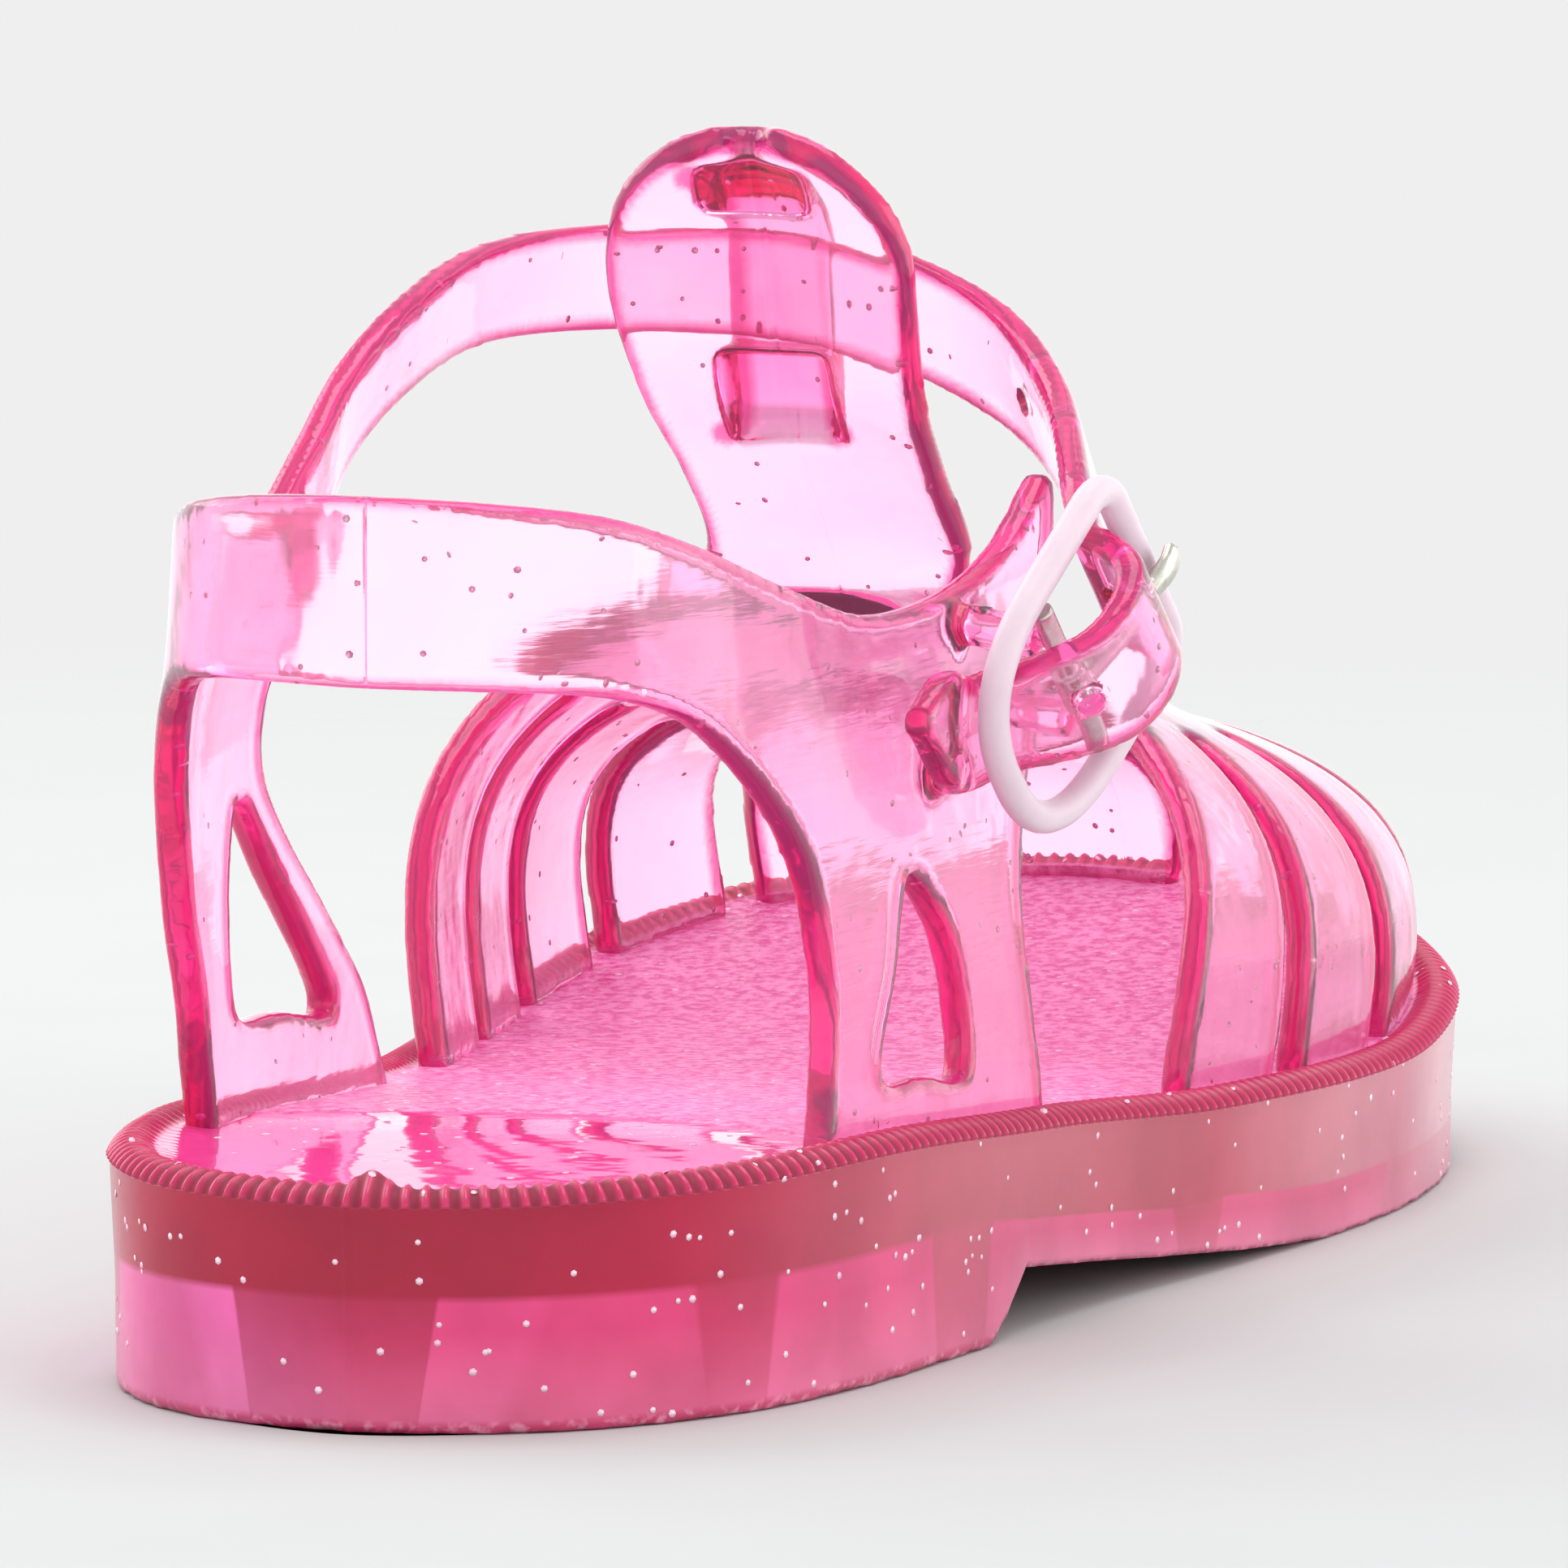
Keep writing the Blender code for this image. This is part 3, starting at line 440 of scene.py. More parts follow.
thick = add(tree, "ValToRGB", {"stops": wall_tint_and_haze_stops}, {"Fac": lengthwise})
# painted glow colours: a deep pink glow that dulls towards the toe, and a brighter painted glow on the inner
# side, where more light comes through
outer_glow = add(tree, "ValToRGB", {"stops": ((0.0, "#EC4284"), (1.0, "#CE6482"))}, {"Fac": lengthwise})
inner_side = add(tree, "MapRange", {"From Min": 0.0, "From Max": 0.008}, {"Value": spot.outputs["Y"]})
glow = add(tree, "MixRGB", {"Color2": srgb("#FF6CBA")}, {"Fac": inner_side, "Color1": outer_glow})
# painted glow: the wall is painted brighter where a hollow lies behind it, between its ends along the wall,
# narrower upwards, beside the heel's middle rib
RAMP_LENGTH = 180.0
sides = []
for lean in (-GLOW_LEAN, GLOW_LEAN):
    run = add(tree, "Math", {"operation": "MULTIPLY_ADD", 1: lean}, {0: level, 2: behind_x})
    run = add(tree, "Math", {"operation": "DIVIDE", 1: RAMP_LENGTH}, {0: run})
    stops, dark_from = [], 0.0
    for x_from, x_to, brightness in GLOW_SPANS:
        light = brightness if lean < 0 else 1.0
        if x_from > dark_from:
            stops += [(dark_from + GLOW_BLUR, 0.0), (x_from - GLOW_BLUR, 0.0)]
        stops += [(max(x_from + GLOW_BLUR, 0.0), light), (x_to - GLOW_BLUR, light)]
        dark_from = x_to
    stops = [(x / RAMP_LENGTH, light) for x, light in stops]
    sides.append(add(tree, "ValToRGB", {"stops": stops}, {"Fac": run}))
spans = add(tree, "Math", {"operation": "MULTIPLY"}, {0: sides[0], 1: sides[1]})
from_rib = add(tree, "Math", {"operation": "SUBTRACT", 1: RIB_MIDDLE}, {0: behind_y})
from_rib = add(tree, "Math", {"operation": "ABSOLUTE"}, {0: from_rib})
from_rib = add(tree, "Math", {"operation": "MULTIPLY_ADD", 1: -GLOW_LEAN}, {0: level, 2: from_rib})
beside_rib = add(tree, "MapRange", {"From Min": CENTRE_RIB - 2 * GLOW_BLUR, "From Max": CENTRE_RIB},
                 {"Value": from_rib})
window = add(tree, "Math", {"operation": "MULTIPLY"}, {0: spans, 1: beside_rib})
# painted light: a rib is painted with some glow too, more towards its foot
rib_light = add(tree, "MapRange", {"From Min": 1.0, "From Max": 0.0, "To Min": 0.2, "To Max": 0.75},
                {"Value": level})
glow_mask = add(tree, "Math", {"operation": "MAXIMUM"}, {0: window, 1: rib_light})
below_roof = add(tree, "MapRange", {"From Min": 1.03, "From Max": 0.97}, {"Value": level})
glow_mask = add(tree, "Math", {"operation": "MULTIPLY"}, {0: glow_mask, 1: below_roof})
cloud = add(tree, "TexNoise", {"Scale": 1 / 0.009, "Detail": 3.0}, {"Vector": place})       # 9 mm swirls
drift = add(tree, "MapRange", {"From Min": 0.3, "From Max": 0.7, "To Min": 0.84, "To Max": 1.1},
            {"Value": cloud})
shown = add(tree, "Math", {"operation": "MULTIPLY"}, {0: glow_mask, 1: drift})
# painted light: the glow is painted paler towards the foot of the wall
near_foot = add(tree, "MapRange", {"From Min": 0.75, "From Max": 0.1, "To Min": 0.0, "To Max": 0.35},
                {"Value": level})
foot_glow = add(tree, "MixRGB", {"Color2": srgb("#FFA6CC")}, {"Fac": near_foot, "Color1": glow})
wall = add(tree, "MixRGB", links={"Fac": shown, "Color1": thick, "Color2": foot_glow})
at_foot = add(tree, "MapRange", {"From Min": 0.11, "From Max": 0.06, "To Min": 0.0, "To Max": 0.7},
              {"Value": level})
ragged = add(tree, "TexNoise", {"Scale": 1 / 0.0009, "Detail": 2.0}, {"Vector": place})     # 0.9 mm flash
flash_tint = add(tree, "ValToRGB", {"stops": ((0.48, "#C92E62"), (0.68, "#F7A4C0"))}, {"Fac": ragged})
wall = add(tree, "MixRGB", links={"Fac": at_foot, "Color1": wall, "Color2": flash_tint})
clouded = add(tree, "MapRange", {"From Min": 0.35, "From Max": 0.65, "To Min": 0.86, "To Max": 1.0},
              {"Value": cloud})
wall = add(tree, "VectorMath", {"operation": "SCALE"}, {0: wall, "Scale": clouded})
# painted light and shade: the bead's ridges are painted bright, and the panels between them painted dark for
# the shade deep in them
ridge_light_groove_shade = add(tree, "MixRGB", {"Color1": srgb("#D42A66"), "Color2": srgb("#8A0633")}, {"Fac": groove})
bead = add(tree, "MixRGB", links={"Fac": on_bead, "Color1": wall, "Color2": ridge_light_groove_shade})
# a leathery grain about 0.9 mm across on the forepart, and a polished seat that ends at a curved line
leather = add(tree, "TexNoise", {"Scale": 1 / 0.0009, "Detail": 3.0, "Roughness": 0.6}, {"Vector": place})
satin_tint = add(tree, "ValToRGB", {"stops": ((0.38, "#E448A0"), (0.6, "#FFA6D8"))}, {"Fac": leather})
y_off = add(tree, "Math", {"operation": "SUBTRACT", 1: HEEL_BACK[1] * MM}, {0: spot.outputs["Y"]})
bow = add(tree, "Math", {"operation": "MULTIPLY"}, {0: y_off, 1: y_off})
seat_edge = add(tree, "Math", {"operation": "MULTIPLY_ADD", 1: SEAT_CURVE / MM,
                               2: -(SEAT_FRONT + HEEL_BACK[0]) * MM}, {0: bow})
ahead = add(tree, "Math", {"operation": "ADD"}, {0: spot.outputs["X"], 1: seat_edge})
in_front = add(tree, "MapRange", {"From Min": -SEAT_SOFT * MM, "From Max": SEAT_SOFT * MM}, {"Value": ahead})
bed_tint = add(tree, "MixRGB", {"Color1": srgb("#FA4FA2")}, {"Fac": in_front, "Color2": satin_tint})
colour = add(tree, "MixRGB", links={"Fac": bed, "Color1": bead, "Color2": bed_tint})
satin = add(tree, "Math", {"operation": "MULTIPLY"}, {0: bed, 1: in_front})
grain = add(tree, "Math", {"operation": "MULTIPLY"}, {0: leather, 1: satin})
skin = add(tree, "TexNoise", {"Scale": 1 / 0.005, "Detail": 2.0}, {"Vector": place})        # 5 mm ripples
ripple = add(tree, "Bump", {"Strength": 0.1, "Distance": 0.0008}, {"Height": skin})
grained = add(tree, "Bump", {"Strength": 0.5, "Distance": 0.0006}, {"Height": grain, "Normal": ripple})
polish = add(tree, "MapRange", {"To Min": 0.2, "To Max": 0.05}, {"Value": bed})
rough = add(tree, "Math", {"operation": "MULTIPLY_ADD", 1: 0.33}, {0: satin, 2: polish})
rough = add(tree, "Math", {"operation": "MULTIPLY_ADD", 1: 0.4}, {0: groove, 2: rough})
body = add(tree, "BsdfPrincipled", {"IOR": 1.53},
           {"Base Color": colour, "Roughness": rough, "Normal": grained})
add(tree, "OutputMaterial", links={"Surface": body})

sole = new_piece("moulded_sole", points, faces, sole_pvc)
for name, values in marks.items():
    sole.data.attributes.new(name, "FLOAT", "POINT").data.foreach_set("value", np.array(values, np.float32))
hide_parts("sole")
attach(sole, "root")

# Toe cage
# Clear PVC strips that fan from the bead up to a saddle over the instep, and a paddle-shaped tongue with the
# strap's loop on its front. All one skin about 2 mm thick with soft edges, moulded with the sole.
CAGE_INSET = 3.3
SKIN = 2.2
RIM = 0.6                                    # rounding of the skin's cut edges
ROUND = 0.29                                 # how far the middle of that rounding lies in, as a share
CORNER_GROWTH = 1.3                          # the most that a sharp corner of the skin is thickened
EDGE_REACH = (1.0, 1.4)                      # an edge's deeper colour fades out between these distances
FOOT_SUNK = 0.8                              # the feet run this far into the sole, which they are one with
STRIPS = 11
SLOT_AT_BEAD = 4.0
SLOT_AT_SADDLE = 1.5
CAGE_REAR = (86.5, 85.0)                     # outer side, inner side
SADDLE = (
    # x, y, z of its edge, from the outer rear corner round the toe to the inner one
    (106.0, -20.4, 36.2), (120.0, -19.8, 34.4), (132.5, -16.4, 33.2), (141.0, -8.0, 33.0), (144.0, 2.0, 33.2),
    (142.5, 11.5, 33.2), (134.5, 18.5, 33.6), (121.0, 21.6, 36.4), (104.6, 22.6, 39.6),
)
SADDLE_CREST = ((106.0, 43.6), (116.0, 40.6), (128.0, 37.4), (144.0, 33.2))                # x, height
SADDLE_COLUMNS = 36
PAD_HALF, PAD_FRONT, PAD_STEP = 16.5, 130.0, 0.7                   # a raised pad on the saddle
SLOT_ENDS_AT = 0.93
STRIP_TOP_LEAN = math.radians(64)
STRIP_BULGE = 3.0
BULGE_SHIFT = 1.25                           # over 1, a strip is fullest above its middle
ACROSS_STRIP = 9
STRIP_ROWS = 34
TONGUE = (
    # x, y, z, half width
    (103.0, -1.2, 48.0, 10.0), (97.5, -1.1, 54.0, 9.9), (92.0, -0.5, 60.0, 10.7), (89.9, 0.0, 65.5, 11.4),
    (88.6, 0.0, 70.0, 11.3), (86.6, 0.0, 74.0, 9.6), (85.3, 0.0, 77.0, 6.2), (84.8, 0.0, 78.1, 3.0),
    (84.7, 0.0, 78.35, 1.8),
)
TONGUE_HOLLOW = 3.2
# x and z along the strap's loop
LOOP = ((85.0, 74.9), (92.4, 75.0), (95.5, 71.5), (96.4, 66.0), (97.0, 62.0), (97.2, 59.2), (93.4, 56.4))
LOOP_Y = 0.9
LOOP_HALF_WIDTH = 4.1
LOOP_WALL = 2.6
LOOP_FEET = (
    # x and z round the thick upper and lower foot of the loop
    ((85.2, 73.0), (92.0, 73.1), (92.8, 74.4), (91.4, 75.9), (84.6, 76.0)),
    ((90.6, 62.1), (96.6, 62.1), (97.2, 59.4), (95.8, 56.4), (94.0, 56.0)),
)
CAGE_VOXEL, CAGE_ROUNDS = 0.5, 7             # fineness of the melted mesh, rounds of smoothing


def shell(points, faces, thickness, outward):
    """A skin grown inward and closed by a rounded rim: its points, its faces and the middle of its rim.

    outward is a way that its outside faces.
    """
    work = bmesh.new()
    verts = [work.verts.new(p) for p in points]
    for face in faces:
        work.faces.new([verts[k] for k in face])
    bmesh.ops.delete(work, geom=[v for v in work.verts if not v.link_faces], context="VERTS")
    bmesh.ops.recalc_face_normals(work, faces=work.faces)
    far = max(work.faces, key=lambda f: f.calc_center_median().dot(Vector(outward)))
    if far.normal.dot(Vector(outward)) < 0:
        bmesh.ops.reverse_faces(work, faces=work.faces)
    work.verts.index_update()
    work.normal_update()
    count = len(work.verts)
    growth = [v.normal * -min(v.calc_shell_factor(), CORNER_GROWTH) for v in work.verts]
    closed = [[v.index for v in f.verts] for f in work.faces]
    closed += [[k + count for k in reversed(face)] for face in closed]
    corner = [(RIM, 0.0), (RIM * ROUND, RIM * ROUND), (0.0, RIM)]
    corner += [(inset, thickness - depth) for inset, depth in reversed(corner)]
    inward = {}
    for e in work.edges:
        if e.is_boundary:
            along_edge = (e.verts[1].co - e.verts[0].co).normalized()
            reach = e.link_faces[0].calc_center_median() - e.verts[0].co
            reach -= along_edge * reach.dot(along_edge)
            for v in e.verts:
                inward[v.index] = inward.get(v.index, Vector()) + reach.normalized()
    outer = [v.co.copy() for v in work.verts]
    inner = [v.co + growth[v.index] * thickness for v in work.verts]
    rim, rim_points, middle = {}, [], {}
    for index, way in inward.items():
        way = way.normalized()
        edge_point = outer[index].copy()
        outer[index] += way * RIM
        inner[index] += way * RIM
        first = 2 * count + len(rim_points)
        middle[index] = edge_point + growth[index] * thickness / 2
        rim_points += [edge_point + way * inset + growth[index] * depth for inset, depth in corner[1:-1]]
        rim[index] = [index, *range(first, first + len(corner) - 2), index + count]
    rim_middle = []
    for e in work.edges:
        if e.is_boundary:
            a, b = (rim[v.index] for v in e.verts)
            rim_middle += [middle[a[0]].lerp(middle[b[0]], f) for f in (0.0, 0.25, 0.5, 0.75, 1.0)]
            closed += [[b[k], a[k], a[k + 1], b[k + 1]] for k in range(len(corner) - 1)]
    work.free()
    return outer + inner + rim_points, closed, rim_middle


def apply_modifiers(piece):
    """Gives a piece the mesh that its modifiers make."""
    piece.data = bpy.data.meshes.new_from_object(
        piece.evaluated_get(bpy.context.evaluated_depsgraph_get()))
    piece.modifiers.clear()


def fuse(name, bodies, voxel, rounds, surface, edges=()):
    """Melts closed bodies into one moulding with soft edges and fillets, and marks what lies near edges."""
    points, faces = [], []
    for body_points, body_faces in bodies:
        start = len(points)
        points += [tuple(p) for p in body_points]
        faces += [[k + start for k in face] for face in body_faces]
    piece = new_piece(name, points, faces, surface)
    remesh = piece.modifiers.new("melt", "REMESH")
    remesh.mode = "VOXEL"
    remesh.voxel_size = voxel * MM
    remesh.use_smooth_shade = True
    soften = piece.modifiers.new("soft_edges", "SMOOTH")
    soften.factor = 0.5
    soften.iterations = rounds
    apply_modifiers(piece)
    mesh = piece.data
    if not mesh.materials:
        mesh.materials.append(surface)
    if len(edges):
        tree = KDTree(len(edges))
        for k, p in enumerate(to_frame(edges)):
            tree.insert(p, k)
        tree.balance()
        near = np.array([tree.find(v.co)[2] for v in mesh.vertices]) / MM
        mark = np.clip((EDGE_REACH[1] - near) / (EDGE_REACH[1] - EDGE_REACH[0]), 0, 1)
        mesh.attributes.new("edge", "FLOAT", "POINT").data.foreach_set("value", mark.astype(np.float32))
    return piece


outer_line, inner_line = side_curve(-1, CAGE_INSET), side_curve(1, CAGE_INSET)
base_line = np.vstack([outer_line[outer_line[:, 0] > CAGE_REAR[0]],
                       inner_line[inner_line[:, 0] > CAGE_REAR[1]][::-1][1:]])
saddle_line = spline(SADDLE, 12)
strip_edges = []
for line, slot in ((base_line, SLOT_AT_BEAD), (saddle_line, SLOT_AT_SADDLE)):
    total = np.linalg.norm(np.diff(line, axis=0), axis=1).sum()
    width = (total - slot * (STRIPS - 1)) / STRIPS
    strip_edges.append(along(line, [(s * (width + slot) + width * f) / total for s in range(STRIPS)
                                    for f in np.linspace(0, 1, ACROSS_STRIP)]))
base, top = strip_edges
way = np.gradient(base, axis=0)
outward = unit(np.column_stack([way[:, 1], -way[:, 0], np.zeros(len(way))]))
base = np.column_stack([base, footbed(base[:, 0]) - FOOT_SUNK])
points, faces = [], []
strip_rows = list(np.linspace(0, SLOT_ENDS_AT, STRIP_ROWS)) + [1.0]
across = len(base)
for r in strip_rows:
    lean = STRIP_TOP_LEAN * r
    reach = (1 - math.cos(lean)) / (1 - math.cos(STRIP_TOP_LEAN))
    rise = math.sin(lean) / math.sin(STRIP_TOP_LEAN)
    swell = outward * STRIP_BULGE * math.sin(math.pi * r ** BULGE_SHIFT)
    points += [Vector(p) for p in base + (top - base) * (reach, reach, rise) + swell]
for r in range(len(strip_rows) - 1):
    for k in range(across - 1):
        if r == len(strip_rows) - 2 or k % ACROSS_STRIP != ACROSS_STRIP - 1:
            low, high = r * across + k, (r + 1) * across + k
            faces.append((low, low + 1, high + 1, high))
# the saddle: lines across from the outer to the inner edge, arched to the crest
first = (len(strip_rows) - 1) * across
saddle_rows = []
for k in range(across // 2):
    left, right = points[first + k], points[first + across - 1 - k]
    middle = (left + right) / 2
    crest = max(float(smooth(SADDLE_CREST, middle.x)) - middle.z, 0.0)
    row = [first + k]
    for c in range(1, SADDLE_COLUMNS):
        f = c / SADDLE_COLUMNS
        p = left.lerp(right, f)
        on_pad = min(max(PAD_HALF - abs(p.y), 0.0), 1.0) * min(max(PAD_FRONT - p.x, 0.0), 1.0)
        p.z += crest * (1 - (2 * f - 1) ** 2) + PAD_STEP * on_pad
        row.append(len(points))
        points.append(p)
    saddle_rows.append(row + [first + across - 1 - k])
for row, after in zip(saddle_rows, saddle_rows[1:]):
    faces += between(row, after)
if across % 2:
    faces += fan(first + across // 2, saddle_rows[-1])
# the tongue grows from the middle half of the saddle's rear edge
row = saddle_rows[0][SADDLE_COLUMNS // 4:SADDLE_COLUMNS - SADDLE_COLUMNS // 4 + 1]
root = points[row[len(row) // 2]]
root_half = (points[row[-1]].y - points[row[0]].y) / 2
for x, y, z, half in spline([(*root, root_half), *TONGUE], 6)[1:]:
    after = []
    for s in np.linspace(-1, 1, len(row)):
        after.append(len(points))
        points.append(Vector((x - TONGUE_HOLLOW * s * s, y + half * s, z)))
    faces += between(row, after)
    row = after
*cage_skin, cage_edges = shell(points, faces, SKIN, (1.0, 0.0, 0.0))


def to_both_sides(profile):
    """Points of a profile of x and z on both sides of the strap's loop."""
    return [(x, LOOP_Y + side * LOOP_HALF_WIDTH, z) for side in (-1, 1) for x, z in profile]


# the strap's loop: a bar that leaves the tongue's tip, bridges the strap and comes back below it
loop_line = spline(LOOP, 6)
way = unit(np.gradient(loop_line, axis=0))
loop_edge = np.vstack([loop_line, (loop_line + LOOP_WALL * np.column_stack([way[:, 1], -way[:, 0]]))[::-1]])
count = len(loop_edge)
loop_faces = band(0, count, count)
for start in (0, count):
    loop_faces += [(start + k, start + k + 1, start + count - 2 - k, start + count - 1 - k)
                   for k in range(count // 2 - 1)]
cage_edges += to_both_sides(loop_line)
loop_bodies = [(to_both_sides(loop_edge), loop_faces)]
for foot in LOOP_FEET:
    count = len(foot)
    foot_faces = [tuple(range(count)), tuple(range(count, 2 * count))] + band(0, count, count)
    loop_bodies.append((to_both_sides(foot), foot_faces))

# The same PVC in a thin skin. Almost water-clear where the eye looks straight through it, hot pink along its
# edges, where it looks along the skin, with a faintly rippled moulded surface.
upper_pvc, tree, place = new_surface("clear_pvc_upper")
flow = add(tree, "TexNoise", {"Scale": 1 / 0.007, "Detail": 3.0}, {"Vector": place})        # 7 mm swirls
tint = add(tree, "ValToRGB", {"stops": ((0.35, "#FFF6FC"), (0.7, "#FFFFFF"))}, {"Fac": flow})
edge = add(tree, "Attribute", {"attribute_name": "edge"}).outputs["Fac"]
colour = add(tree, "MixRGB", {"Color2": srgb("#F656A8")}, {"Fac": edge, "Color1": tint})
see_through = add(tree, "MapRange", {"To Min": 0.96, "To Max": 0.7}, {"Value": edge})
# a fine line along the middle, where the mould halves met
spot = add(tree, "SeparateXYZ", links={0: place})
y_off = add(tree, "Math", {"operation": "SUBTRACT", 1: HEEL_BACK[1] * MM}, {0: spot.outputs["Y"]})
aside = add(tree, "Math", {"operation": "ABSOLUTE"}, {0: y_off})
mould_line = add(tree, "MapRange", {"From Min": 0.00015, "From Max": 0.0004, "To Min": 1.0, "To Max": 0.0},
                 {"Value": aside})
# 6 mm ripples of the mould, and marks drawn along it, 6 mm long and 0.6 mm high
skin = add(tree, "TexNoise", {"Scale": 1 / 0.006, "Detail": 2.0}, {"Vector": place})
ripple = add(tree, "Bump", {"Strength": 0.1, "Distance": 0.0008}, {"Height": skin})
stretch = add(tree, "Mapping", {"Scale": (1 / 0.006, 1 / 0.006, 1 / 0.0006)}, {"Vector": place})
brushed = add(tree, "TexNoise", {"Scale": 1.0, "Detail": 3.0}, {"Vector": stretch})
drawn = add(tree, "Bump", {"Strength": 0.02, "Distance": 0.0005}, {"Height": brushed, "Normal": ripple})
parted = add(tree, "Bump", {"Strength": 0.2, "Distance": 0.0002}, {"Height": mould_line, "Normal": drawn})
haze = add(tree, "MapRange", {"To Min": 0.03, "To Max": 0.12}, {"Value": flow})
body = add(tree, "BsdfPrincipled", {"IOR": 1.45},
           {"Base Color": colour, "Roughness": haze, "Normal": parted, "Transmission Weight": see_through})
depth = add(tree, "VolumeAbsorption", {"Color": (0.985, 0.03, 0.6, 1.0), "Density": 172.0})
add(tree, "OutputMaterial", links={"Surface": body, "Volume": depth})

cage = fuse("toe_cage_and_tongue", [cage_skin] + loop_bodies, CAGE_VOXEL, CAGE_ROUNDS, upper_pvc, cage_edges)
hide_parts("toe_cage")
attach(cage, "root")

# Heel quarter and ankle strap
# A heel band carried by a split post on each side, with a tab for the buckle on the outer side. On the inner
# side the band runs on as the ankle strap, through the tongue's loop and the buckle, to a pointed tail. It is
# one PVC moulding with the sole.
QUARTER_INSET = 3.3
QUARTER_SKIN = 2.3
QUARTER_LOW, QUARTER_HIGH = 17.0, 55.0       # the outer side leans in between these heights
QUARTER_LEAN_MOST = 1.2                      # and a little further above them
QUARTER_LEAN = (
    # x, outer half breadth at the band and fullest inner half breadth, over those at the sole
    (5.0, 0.96, 1.015), (20.0, 0.90, 1.033), (30.0, 0.89, 1.036), (45.0, 0.875, 1.033), (71.0, 0.93, 1.00),
)
INNER_FULLNESS = (
    # height, share of the inner side's fullness: it is fullest in the posts, and steps in at the band
    (15.0, 0.0), (23.0, 0.0), (30.5, 0.75), (38.0, 1.0), (43.0, 0.35), (47.5, -0.85), (60.0, -2.3),
)
SEAT = None                                  # stands for a height on the footbed
# x and height of the edges of each side
OUTER_FOOT = (29.6, 66.0)
OUTER_FRONT = (
    (66.0, SEAT), (64.4, 21.9), (63.8, 27.5), (64.6, 32.6), (68.3, 41.8), (71.0, 49.7), (72.0, 54.8),
    (71.4, 56.2), (70.0, 55.4), (65.2, 52.2), (57.4, 49.8), (42.8, 49.3), (30.0, 52.3), (18.5, 56.2),
    (10.7, 58.6),
)
BAND_TOP = 60.0
INNER_TOP = ((9.5, 59.0), (19.5, 56.6), (30.0, 55.0), (38.0, 55.2), (43.5, 56.4))
INNER_FRONT = (
    (46.0, 52.0), (42.6, 48.0), (40.4, 43.8), (40.1, 40.6), (41.0, 37.2), (44.4, 33.6), (49.4, 29.7),
    (55.3, 25.1), (60.6, 21.1), (67.4, SEAT),
)
INNER_FOOT = (27.6, 67.4)
INNER_REAR = ((27.6, SEAT), (25.0, 21.7), (22.6, 30.7), (21.2, 36.4), (18.6, 42.0), (14.0, 46.0), (8.5, 47.4))
BAND_BOTTOM = 47.6
OUTER_REAR = (
    (8.6, 47.1), (13.7, 46.1), (18.5, 44.2), (25.7, 38.9), (30.3, 33.3), (31.9, 25.5), (31.0, 20.5),
    (29.6, SEAT),
)
OUTER_WINDOW = (
    (45.3, 31.6), (42.2, 25.6), (38.8, 19.2), (45.5, 18.5), (52.2, 17.9), (51.9, 25.6), (48.6, 29.9),
)
INNER_WINDOW = (
    (35.8, 36.0), (33.4, 29.5), (33.0, 22.7), (43.0, 21.3), (53.4, 20.2), (48.0, 25.4), (42.3, 30.5),
)
PATTERN_GRID = 2.5
QUARTER_VOXEL, QUARTER_ROUNDS = 0.42, 5
quarter_sides = {side: side_curve(side, QUARTER_INSET) for side in (-1, 1)}
quarter_runs = {side: run_of(line) for side, line in quarter_sides.items()}


def pattern(side, rows):
    """Flat pattern of one side: distance round the heel from its middle, and height."""
    return [(side * float(np.interp(x, quarter_sides[side][:, 0], quarter_runs[side])),
             float(footbed(x)) - FOOT_SUNK if z is SEAT else z) for x, z in rows]


def wrap(run, z):
    """A point of the flat pattern on the quarter's outer face."""
    side = 1 if run >= 0 else -1
    x, y = (float(np.interp(abs(run), quarter_runs[side], quarter_sides[side][:, k])) for k in (0, 1))
    ratio = float(smooth([(row[0], row[1 if side < 0 else 2]) for row in QUARTER_LEAN], x))
    if side < 0:
        share = min(max((z - QUARTER_LOW) / (QUARTER_HIGH - QUARTER_LOW), 0.0), QUARTER_LEAN_MOST)
    else:
        share = float(smooth(INNER_FULLNESS, z))
    return Vector((x, y * (1 + (ratio - 1) * share), z))


border = pattern(-1, [(x, SEAT) for x in np.linspace(*OUTER_FOOT, 16)[:-1]])
border += list(spline(pattern(-1, OUTER_FRONT) + [(0.0, BAND_TOP)] + pattern(1, INNER_TOP), 8))
border += list(spline(pattern(1, INNER_FRONT), 8))
border += pattern(1, [(x, SEAT) for x in np.linspace(*INNER_FOOT, 18)[::-1][1:-1]])
border += list(spline(pattern(1, INNER_REAR) + [(0.0, BAND_BOTTOM)] + pattern(-1, OUTER_REAR), 8))[:-1]
windows = [spline(pattern(side, rows), 6, closed=True)
           for side, rows in ((-1, OUTER_WINDOW), (1, INNER_WINDOW))]
work = bmesh.new()
for edge_line in (border, *windows):
    verts = [work.verts.new((run, z, 0.0)) for run, z in edge_line]
    for a, b in zip(verts, verts[1:] + verts[:1]):
        work.edges.new((a, b))
bmesh.ops.triangle_fill(work, use_beauty=True, use_dissolve=False, edges=work.edges[:])
